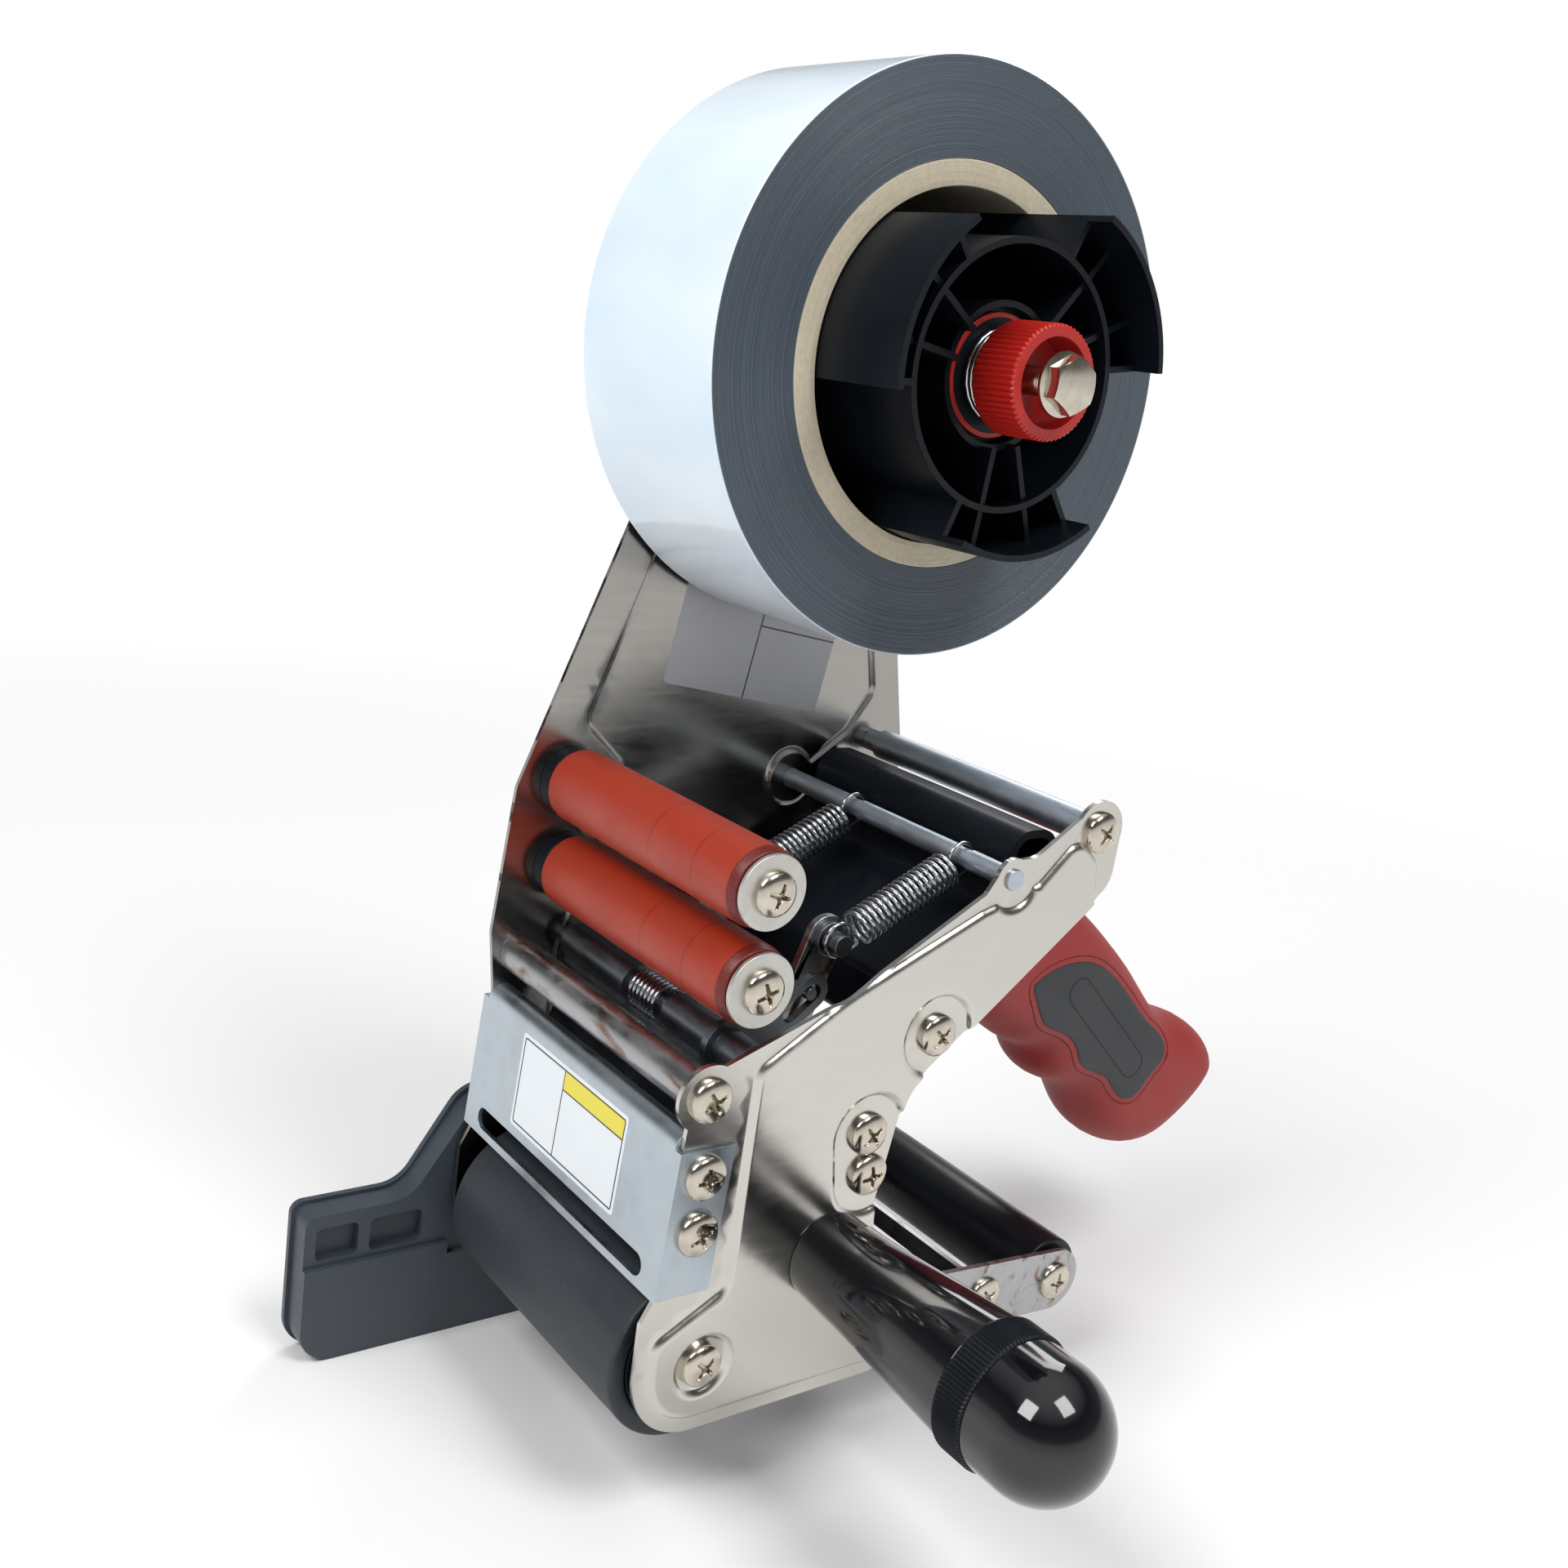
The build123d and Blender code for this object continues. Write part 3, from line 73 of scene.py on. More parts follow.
# Places and sizes are in metres, in the frame of the solids: X runs along the rollers, Z is up.
mm = 0.001
east = Vector((1, 0, 0))
smooth_angle = math.radians(38)
weld_distance = 0.002 * mm
winding = 0.62 * mm
bpy.context.scene.view_settings.view_transform = "Standard"
record = frame["record"]
slot_of = {part["node"]: part["material_slot"] for part in record["subparts"]}
groups = record["behaviour"]["bodies"]
body_of = {node: body for body, nodes in groups.items() for node in nodes}


# Materials

def screen(red, green, blue):
    """Colour for a socket from the steps of a screen colour."""
    return tuple((step / 255) ** 2.2 for step in (red, green, blue)) + (1.0,)


def grey(level):
    return (level, level, level, 1.0)


class Nodes:
    """A node tree, with patterns that take their places from one kind of coordinates."""

    def __init__(self, tree, coordinates):
        self.nodes = tree.nodes
        self.links = tree.links
        self.place = self.new("TexCoord", {})[coordinates]

    def put(self, socket, value):
        if isinstance(value, bpy.types.NodeSocket):
            self.links.new(value, socket)
        else:
            socket.default_value = value

    def new(self, kind, inputs, **settings):
        """Outputs of a new node, with its settings and inputs given."""
        node = self.nodes.new("ShaderNode" + kind)
        for setting, value in settings.items():
            setattr(node, setting, value)
        for socket, value in inputs.items():
            self.put(node.inputs[socket], value)
        return node.outputs

    def noise(self, size, detail=3.0, stretch=(1, 1, 1), distortion=0.0):
        """Cloudy pattern whose features are about one size across, in millimetres."""
        place = self.new("Mapping", {"Vector": self.place, "Scale": stretch})[0]
        inputs = {"Vector": place, "Scale": 1 / (size * mm), "Detail": detail, "Distortion": distortion}
        return self.new("TexNoise", inputs)[0]

    def cells(self, size):
        return self.new("TexVoronoi", {"Vector": self.place, "Scale": 1 / (size * mm)})[0]

    def rings(self, radius, size, detail):
        """Rings about one size apart, in millimetres."""
        inputs = {"W": self.maths("MULTIPLY", radius, 1 / (size * mm)), "Detail": detail}
        return self.new("TexNoise", inputs, noise_dimensions="1D")[0]

    def maths(self, operation, first, second=0.0):
        return self.new("Math", {0: first, 1: second}, operation=operation)[0]

    def parts(self):
        return self.new("SeparateXYZ", {0: self.place})

    def radius(self, *axes):
        """Distance from the line on which two of the coordinates are nought."""
        across = self.parts()
        squares = [self.maths("POWER", across[axis], 2.0) for axis in axes]
        return self.maths("SQRT", self.maths("ADD", *squares))

    def scaled(self, factor, low, high, from_low=0.3, from_high=0.7):
        inputs = {"Value": factor, "From Min": from_low, "From Max": from_high, "To Min": low, "To Max": high}
        return self.new("MapRange", inputs)[0]

    def ramp(self, factor, *stops):
        found = self.new("ValToRGB", {0: factor})[0]
        elements = found.node.color_ramp.elements
        while len(elements) < len(stops):
            elements.new(0.5)
        for element, (position, colour) in zip(elements, stops):
            element.position = position
            element.color = colour
        return found

    def mixed(self, factor, first, second, blend="MIX"):
        """Mixed colour: in the mix node, sockets 6 and 7 and output 2 are the ones for colours."""
        return self.new("Mix", {0: factor, 6: first, 7: second}, data_type="RGBA", blend_type=blend)[2]

    def shaded(self, amount, colour, pattern, low, dark, high):
        """Colour that is darkened where a pattern is low."""
        shade = self.ramp(pattern, (low, grey(dark)), (high, grey(1.0)))
        return self.mixed(amount, colour, shade, "MULTIPLY")


class Paint(Nodes):
    """One procedural material, built from nodes in the piece's own coordinates."""

    def __init__(self, name, colour, roughness, metallic=0.0):
        self.material = bpy.data.materials.new(name)
        self.material.use_nodes = True
        super().__init__(self.material.node_tree, "Object")
        self.shader = self.nodes["Principled BSDF"]
        self.give({"Base Color": colour, "Roughness": roughness, "Metallic": metallic})

    def give(self, values):
        """Values or patterns for the shader's own sockets."""
        for socket, value in values.items():
            self.put(self.shader.inputs[socket], value)

    def finished(self, colour, gloss, *layers):
        """Material with its colour, its roughness pattern, and layers of height and millimetres of depth."""
        self.give({"Base Color": colour})
        if gloss:
            self.give({"Roughness": self.scaled(*gloss)})
        relief = {}
        for height, depth in layers:
            relief["Normal"] = self.new("Bump", {**relief, "Height": height, "Distance": depth * mm})[0]
        self.give(relief)
        return self.material


def sheet_steel(name, colour, low, high):
    """Rolled sheet: a fine grain along Y, faint cloudiness and a few handling marks."""
    paint = Paint(name, colour, low, 1.0)
    grain = paint.noise(0.35, 4.0, (1, 0.02, 1))
    cloud = paint.noise(26, 4.0, (1, 1, 1), 0.6)
    marks = paint.noise(5, 6.0, (1, 0.25, 1.6), 1.2)
    uneven = paint.maths("ADD", paint.maths("MULTIPLY", marks, 0.6), paint.maths("MULTIPLY", cloud, 0.4))
    tone = paint.shaded(0.5, colour, cloud, 0.3, 0.9, 0.7)
    return paint.finished(tone, (uneven, low, high), (grain, 0.004), (marks, 0.006))


def plated(name, colour, low, high, stain=None):
    """Plated steel with soft blotches, and brown stains where it has worn."""
    paint = Paint(name, colour, low, 1.0)
    blotch = paint.noise(4, 5.0, (0.4, 1, 1), 0.8)
    tone = paint.shaded(0.6, colour, blotch, 0.3, 0.75, 0.65)
    if stain:
        wear_and_shade_patches = paint.ramp(paint.noise(7, 7.0, (0.25, 1, 1), 1.5), (0.55, grey(0.0)), (0.68, grey(1.0)))
        tone = paint.mixed(wear_and_shade_patches, tone, stain)
    return paint.finished(tone, (blotch, low, high), (paint.noise(0.5, 3.0, (1, 0.3, 0.3)), 0.008))


def galvanised(name):
    """Zinc coated sheet with a faint spangle."""
    colour = screen(188, 198, 205)
    paint = Paint(name, colour, 0.3, 1.0)
    flow = paint.noise(9, 5.0, (1, 1, 0.5), 0.8)
    tone = paint.shaded(0.5, colour, paint.cells(5), 0.0, 0.85, 0.7)
    tone = paint.shaded(0.5, tone, flow, 0.35, 0.8, 0.65)
    skin = paint.noise(0.6, 4.0, (1, 1, 0.2))
    return paint.finished(tone, (flow, 0.24, 0.42), (skin, 0.01), (flow, 0.04))


def plastic(name, colour, low, high, grain, depth, coat=0.0, specular=0.5):
    """Moulded plastic or rubber with a fine skin."""
    paint = Paint(name, colour, low)
    paint.give({"Specular IOR Level": specular})
    if coat:
        paint.give({"Coat Weight": coat, "Coat Roughness": low / 2})
    cloud = paint.noise(18, 4.0)
    tone = paint.shaded(0.8, colour, cloud, 0.3, 0.86, 0.7)
    return paint.finished(tone, (cloud, low, high), (paint.noise(grain), depth))


def dusty_rubber(name):
    """Charcoal roller rubber with pale specks and a rubbed band."""
    colour = screen(37, 42, 48)
    paint = Paint(name, colour, 0.55)
    specks = paint.ramp(paint.cells(2.6), (0.03, grey(1.0)), (0.09, grey(0.0)))
    rubbed = paint.noise(12, 5.0, (0.35, 1, 1), 0.5)
    tone = paint.mixed(paint.scaled(rubbed, 0.0, 0.5), colour, screen(57, 63, 71))
    tone = paint.mixed(paint.maths("MULTIPLY", specks, 0.5), tone, screen(120, 122, 124))
    return paint.finished(tone, (rubbed, 0.45, 0.62), (paint.noise(0.35), 0.03))


def silicone(name, seams, painted_shade_start):
    """Brick red silicone with faint rings, and painted shade on the chamfer at its near end."""
    colour = screen(158, 52, 30)
    paint = Paint(name, colour, 0.42)
    cloud = paint.noise(10, 5.0, (0.6, 1, 1), 0.4)
    tone = paint.mixed(paint.scaled(cloud, 0.0, 0.6), colour, screen(146, 45, 27))
    along = paint.parts()[0]
    for place in seams:
        near = paint.maths("ABSOLUTE", paint.maths("SUBTRACT", along, place))
        tone = paint.mixed(paint.scaled(near, 0.5, 0.0, 0.1 * mm, 0.4 * mm), tone, screen(98, 24, 16))
    # Painted shade: a dark, mottled red over the chamfer at the near end, from the given X to the end,
    # standing in for its shadow.
    wear_and_shade_patches = paint.scaled(paint.noise(0.5), 0.0, 1.0)
    chamfer_shade_tone = paint.mixed(wear_and_shade_patches, screen(84, 22, 18), screen(116, 36, 28))
    tone = paint.mixed(paint.scaled(along, 0.0, 1.0, painted_shade_start - 0.15 * mm, painted_shade_start), tone, chamfer_shade_tone)
    return paint.finished(tone, (cloud, 0.36, 0.5), (paint.noise(0.3, 2.0), 0.012))


def roll_film(name, outer):
    """Wound film: pale and glossy outside, dark slate with fine rings on its side, which is partly the wound
    edges' own colour and partly painted shade.
    """
    paint = Paint(name, screen(218, 232, 242), 0.14)
    radius = paint.radius(1, 2)
    rings = paint.rings(radius, winding / mm, 3.0)
    # The slate tones of the side are darkened past the film's own colour, as painted shade for the side
    # turned from the light.
    stops = ((0.32, screen(44, 52, 60)), (0.5, screen(66, 76, 86)), (0.66, screen(104, 115, 127)))
    haze = paint.noise(30, 3.0, (0.5, 1, 1))
    film = paint.mixed(paint.scaled(haze, 0.0, 1.0), screen(210, 227, 240), screen(229, 240, 248))
    outside = paint.scaled(radius, 0.0, 1.0, outer - 0.35 * mm, outer - 0.15 * mm)
    side_height = paint.maths("MULTIPLY", rings, paint.maths("SUBTRACT", 1.0, outside))
    tone = paint.mixed(outside, paint.ramp(rings, *stops), film)
    gloss = (outside, 0.42, 0.12, 0.0, 1.0)
    return paint.finished(tone, gloss, (side_height, 0.12), (haze, 0.05))


def kraft(name):
    """Wound kraft board with its plies on the end face."""
    paint = Paint(name, screen(128, 112, 84), 0.85)
    rings = paint.rings(paint.radius(1, 2), 0.6, 4.0)
    fibre = paint.noise(1.2, 6.0)
    plies = paint.ramp(rings, (0.32, screen(184, 173, 148)), (0.62, screen(226, 216, 194)))
    tone = paint.mixed(paint.scaled(fibre, 0.0, 0.4), plies, screen(178, 166, 140))
    return paint.finished(tone, None, (rings, 0.12), (fibre, 0.05))


def printed(name, colour, roughness=0.35):
    """Printed film of a label."""
    paint = Paint(name, colour, roughness)
    haze = paint.noise(6, 4.0)
    tone = paint.shaded(0.5, colour, haze, 0.3, 0.93, 0.7)
    gloss = (haze, roughness - 0.02, roughness + 0.02)
    return paint.finished(tone, gloss, (paint.noise(0.4, 2.0), 0.01))


chamfer_length = 2.4 * mm
red_low, red_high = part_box("upper_guide_roller_rubber")
seam_shares = (0.58, 0.8)
seams = [red_low.x + (red_high.x - red_low.x) * share for share in seam_shares]
roll_low, roll_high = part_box("tape_roll")
roll_outer = roll_high.z
paints = {
    "zinc_steel": plated("worn_zinc_steel", screen(176, 176, 178), 0.24, 0.42, screen(120, 92, 70)),
    "bright_steel": plated("bright_plated_steel", screen(190, 196, 204), 0.08, 0.2),
    "nickel_screws": plated("nickel_screws", screen(204, 196, 182), 0.1, 0.22),
    "spring_steel": plated("spring_wire", screen(206, 210, 214), 0.12, 0.22),
    "galvanised_sheet": galvanised("galvanised_sheet"),
    "black_plastic": plastic("black_plastic", screen(21, 25, 31), 0.26, 0.42, 0.5, 0.015, 0.0, 0.2),
    "gloss_black_plastic": plastic("gloss_black", screen(20, 21, 25), 0.06, 0.14, 1.5, 0.006, 0.4),
    "guide_plastic": plastic("dark_grey_plastic", screen(60, 67, 75), 0.4, 0.55, 0.45, 0.03),
    "red_plastic": plastic("red_plastic", screen(178, 36, 30), 0.3, 0.44, 0.6, 0.012),
    "roller_rubber": dusty_rubber("charcoal_rubber"),
    "red_silicone": silicone("red_silicone", seams, red_high.x - chamfer_length),
    "red_grip_rubber": plastic("red_grip_rubber", screen(152, 44, 41), 0.5, 0.64, 0.4, 0.03),
    "grey_grip_panel": plastic("grey_grip_panel", screen(52, 54, 57), 0.5, 0.66, 0.4, 0.03),
    "kraft_core": kraft("kraft_board"),
    "packing_tape": roll_film("wound_film", roll_outer),
    "brass_bush": plated("brass", screen(196, 160, 92), 0.2, 0.3),
}
near_steel = sheet_steel("satin_sheet_steel", screen(204, 201, 194), 0.16, 0.27)
far_steel = sheet_steel("bright_sheet_steel", screen(164, 161, 156), 0.14, 0.28)
washer_zinc = plated("matte_zinc", screen(208, 206, 200), 0.4, 0.55)
dark_steel = plated("dark_steel", screen(128, 133, 139), 0.3, 0.44)
tube_steel = plated("tube_steel", screen(190, 199, 208), 0.4, 0.5)
rear_rubber = plastic("black_roller_rubber", screen(24, 27, 32), 0.24, 0.4, 0.8, 0.012, 0.0, 0.25)
label_white = printed("label_white", screen(228, 234, 238))
label_line = printed("label_line", screen(48, 50, 56))
label_yellow = printed("label_yellow", screen(228, 214, 70))
label_grey = printed("label_grey", screen(176, 178, 182), 0.3)
dark_red = plastic("dark_red_line", screen(84, 22, 22), 0.6, 0.7, 0.4, 0.01)
dark_line = plastic("dark_groove", screen(34, 35, 38), 0.6, 0.7, 0.4, 0.01)


# Placing of pieces

def add(name, vertices, faces, material, node, *hidden, span=None):
    """New piece that rides with a solid's body or spans two, and stands for the hidden solids."""
    mesh = bpy.data.meshes.new(name)
    mesh.from_pydata([tuple(vertex) for vertex in vertices], [], faces)
    mesh.validate()
    mesh.materials.append(material or paints[slot_of[node]])
    mesh.polygons.foreach_set("use_smooth", [True] * len(mesh.polygons))
    mesh.set_sharp_from_angle(angle=smooth_angle)
    piece = bpy.data.objects.new(name, mesh)
    bpy.context.scene.collection.objects.link(piece)
    if span:
        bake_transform(piece)
    else:
        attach(piece, body_of[node])
    if hidden:
        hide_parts(*hidden)
    return piece


def stand_in(node, shape, material=None, span=None):
    """Piece of given vertices and faces in place of a solid."""
    return add(node + "_piece", *shape, material, node, node, span=span)


def merged(shapes):
    """Several pairs of vertices and faces as one."""
    vertices = []
    faces = []
    for more_vertices, more_faces in shapes:
        start = len(vertices)
        vertices += more_vertices
        faces += [[start + index for index in face] for face in more_faces]
    return vertices, faces


def welded(node):
    """Editable copy of a solid's mesh, with its doubled corners joined."""
    mesh = bmesh.new()
    mesh.from_mesh(frame["nodes"][node].data)
    bmesh.ops.remove_doubles(mesh, verts=mesh.verts, dist=weld_distance)
    return mesh


def islands(node):
    """Vertices of each separate solid in a node."""
    mesh = frame["nodes"][node].data
    tree = KDTree(len(mesh.vertices))
    for vertex in mesh.vertices:
        tree.insert(vertex.co, vertex.index)
    tree.balance()
    leader = list(range(len(mesh.vertices)))

    def top(index):
        while leader[index] != index:
            leader[index] = leader[leader[index]]
            index = leader[index]
        return index

    for vertex in mesh.vertices:
        for _, other, _ in tree.find_range(vertex.co, weld_distance):
            leader[top(other)] = top(vertex.index)
    for edge in mesh.edges:
        leader[top(edge.vertices[0])] = top(edge.vertices[1])
    found = {}
    for vertex in mesh.vertices:
        found.setdefault(top(vertex.index), []).append(vertex.co.copy())
    return list(found.values())


def round_edges(piece, width, segments, degrees):
    """Rounding of the edges that are sharper than an angle, so that they catch the light."""
    rounding = piece.modifiers.new("rounding", "BEVEL")
    rounding.width = width
    rounding.segments = segments
    rounding.limit_method = "ANGLE"
    rounding.angle_limit = math.radians(degrees)
    rounding.harden_normals = True


def softened(node, width=0.25 * mm, material=None, segments=2):
    """A solid's own shape with its sharp edges rounded."""
    mesh = welded(node)
    bmesh.ops.dissolve_limit(
        mesh, angle_limit=math.radians(0.4), verts=mesh.verts, edges=mesh.edges, use_dissolve_boundaries=False
    )
    vertices = [vertex.co.copy() for vertex in mesh.verts]
    faces = [[vertex.index for vertex in face.verts] for face in mesh.faces]
    mesh.free()
    round_edges(stand_in(node, (vertices, faces), material), width, segments, 34)


def circle(count):
    """Cosine and sine of even steps round a circle."""
    angles = [2 * math.pi * step / count for step in range(count)]
    return [(math.cos(angle), math.sin(angle)) for angle in angles]


def ringed(rings, sides, closed=False):
    """Faces between rings of vertices, with caps, or closed from the last ring to the first."""
    faces = []
    for ring in range(rings if closed else rings - 1):
        here = ring * sides
        there = (ring + 1) % rings * sides
        for step in range(sides):
            after = (step + 1) % sides
            faces.append((here + step, here + after, there + after, there + step))
    if not closed:
        faces += [range(sides)[::-1], range((rings - 1) * sides, rings * sides)]
    return faces


def eased(points, reach, steps):
    """Closed outline with its corners rounded, by a reach that is shortened beside short sides."""
    rounded = []
    for index, corner in enumerate(points):
        here = Vector(corner)
        before = Vector(points[index - 1]) - here
        after = Vector(points[(index + 1) % len(points)]) - here
        arm = min(reach, before.length * 0.45, after.length * 0.45)
        start = here + before.normalized() * arm
        end = here + after.normalized() * arm
        for step in range(steps + 1):
            share = step / steps
            rounded.append(start * (1 - share) ** 2 + here * (2 * share * (1 - share)) + end * share ** 2)
    return rounded


def turned(profile, centre, sides, closed=True, ribs=None):
    """Vertices and faces of a profile of X and radius, turned about an axis along X.

    Ribs are given as a number, a depth, the X where they start and end, and the radius they lie beyond.
    """
    vertices = []
    for side, (across, up) in enumerate(circle(sides)):
        for along, radius in profile:
            reach = radius
            if ribs and radius > ribs[4] and ribs[2] <= along <= ribs[3]:
                reach -= ribs[1] * (0.5 - 0.5 * math.cos(ribs[0] * 2 * math.pi * side / sides))
            vertices.append((along, centre[0] + reach * across, centre[1] + reach * up))
    rows = len(profile)
    faces = ringed(sides, rows, True)
    if not closed:
        faces = [face for face in faces if face[0] < face[1]]
        faces += [range(0, sides * rows, rows), range(rows - 1, sides * rows, rows)[::-1]]
    return vertices, faces


def centre_of(node):
    low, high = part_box(node)
    return ((low.y + high.y) / 2, (low.z + high.z) / 2)


def span_of(node):
    """Lowest and highest X of a round solid, and its radius."""
    low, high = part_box(node)
    return low.x, high.x, (high.z - low.z) / 2


def sleeve(node, inner, reach, material=None):
    """Ring about an axis along X, from a solid's box, with rounded rims."""
    low, high, outer = span_of(node)
    profile = [(low, inner), (low, outer), (high, outer), (high, inner)]
    stand_in(node, turned(eased(profile, reach, 5), centre_of(node), 144), material)


def tube(points, radius, sides=10):
    """Vertices and faces of a round wire along close points, closed at its ends."""
    vertices = []
    side = (points[1] - points[0]).normalized().orthogonal().normalized()
    for index, point in enumerate(points):
        last = points[max(index - 1, 0)]
        following = points[min(index + 1, len(points) - 1)]
        way = (following - last).normalized()
        side = (side - way * side.dot(way)).normalized()
        other = way.cross(side)
        vertices += [point + side * (radius * over) + other * (radius * up) for over, up in circle(sides)]
    return vertices, ringed(len(points), sides)


# Outlines and flat meshes

def section_loops(node, at_x):
    """Loops of Y and Z points where a solid is cut square to X, the one with most points first."""
    mesh = welded(node)
    cut = bmesh.ops.bisect_plane(
        mesh, geom=mesh.verts[:] + mesh.edges[:] + mesh.faces[:], plane_co=(at_x, 0, 0), plane_no=(1, 0, 0)
    )["geom_cut"]
    border = {}
    for item in cut:
        if isinstance(item, bmesh.types.BMEdge):
            first, second = item.verts
            border.setdefault(first, []).append(second)
            border.setdefault(second, []).append(first)
    loops = []
    while border:
        here = next(iter(border))
        loop = []
        while here:
            loop.append(Vector((here.co.y, here.co.z)))
            beside = border.pop(here)
            here = next((vertex for vertex in beside if vertex in border), None)
        loops.append(loop)
    mesh.free()
    return sorted(loops, key=len, reverse=True)


def evenly(loop, spacing):
    """Points at an even spacing along a closed loop, with its corners kept."""
    points = []
    for index, start in enumerate(loop):
        end = loop[(index + 1) % len(loop)]
        steps = max(1, round((end - start).length / spacing))
        points += [start.lerp(end, step / steps) for step in range(steps)]
    return points


def tree_of(points):
    tree = KDTree(len(points))
    for index, point in enumerate(points):
        tree.insert((point.x, point.y, 0), index)
    tree.balance()
    return tree


def away(tree, point):
    return tree.find((point.x, point.y, 0))[2]


def lifted(points, heights, side=1):
    """Places of Y and Z points at their heights along X."""
    return [Vector((side * height, point.x, point.y)) for height, point in zip(heights, points)]


def loop_edges(count, first=0):
    return [(first + index, first + (index + 1) % count) for index in range(count)]


def normal_at(loop, index, back=1):
    """Unit vector square to a loop at one of its points."""
    way = (loop[(index + 1) % len(loop)] - loop[index - back]).normalized()
    return Vector((-way.y, way.x))


def inside(loop, point):
    """Whether a point lies inside a loop."""
    crossings = 0
    for start, end in zip(loop, loop[1:] + loop[:1]):
        if (start.y > point.y) != (end.y > point.y):
            place = start.x + (point.y - start.y) / (end.y - start.y) * (end.x - start.x)
            crossings += place > point.x
    return crossings % 2 == 1


def inward_at(loop, index, back=1):
    normal = normal_at(loop, index, back)
    return normal if inside(loop, loop[index] + normal * 0.1 * mm) else -normal


def staggered(outline, spacing):
    """Places on a grid over an outline, with every other row moved by half a step."""
    (low_y, high_y), (low_z, high_z) = [(min(values), max(values)) for values in zip(*outline)]
    places = []
    for row in range(int((high_z - low_z) / spacing) + 1):
        for column in range(int((high_y - low_y) / spacing) + 1):
            places.append(Vector((low_y + (column + 0.5 * (row % 2)) * spacing, low_z + row * spacing)))
    return places


def filled(loop, points, spacing, gap):
    """Points and triangles inside a loop: its own points, more points and a grid a gap from it."""
    tree = tree_of(loop)
    grid = [place for place in staggered(loop, spacing) if inside(loop, place) and away(tree, place) > gap]
    flat, _, triangles = delaunay_2d_cdt(loop + points + grid, loop_edges(len(loop)), [], 1, 1e-6)[:3]
    return flat, triangles


def slab(top, bottom, triangles, side):
    """Vertices and faces of a flat mesh given two faces, with a wall along its border."""
    shift = len(top)
    faces = []
    border = {}
    for triangle in triangles:
        corners = list(triangle)[::side]
        faces += [corners, [shift + corner for corner in reversed(corners)]]
        for start, end in zip(corners, corners[1:] + corners[:1]):
            if not border.pop((end, start), False):
                border[(start, end)] = True
    faces += [[start, shift + start, shift + end, end] for start, end in border]
    return top + bottom, faces


# Pressed side plates

bead_reach = 1.1 * mm
bead_foot_share = 0.16
ring_shares = (-1.0, -0.88, -0.76, -0.64, -0.45, -0.22, 0.0, 0.25, 0.5, 0.75, 1.0)
plate_grid = 3.5 * mm
plate_sheet = 1.2 * mm
probe = 0.08 * mm
probe_ways = [Vector(way) * probe for way in circle(8)]


def bead_rise(signed):
    """Share of a bead's height at a distance from its line: a crisp foot and a soft shoulder."""
    share = min(1.0, max(0.0, 0.5 + signed / (2 * bead_reach)))
    if share < bead_foot_share:
        return share * share / bead_foot_share
    past = share - bead_foot_share
    return bead_foot_share + 2 * past - past * past / (1 - bead_foot_share)


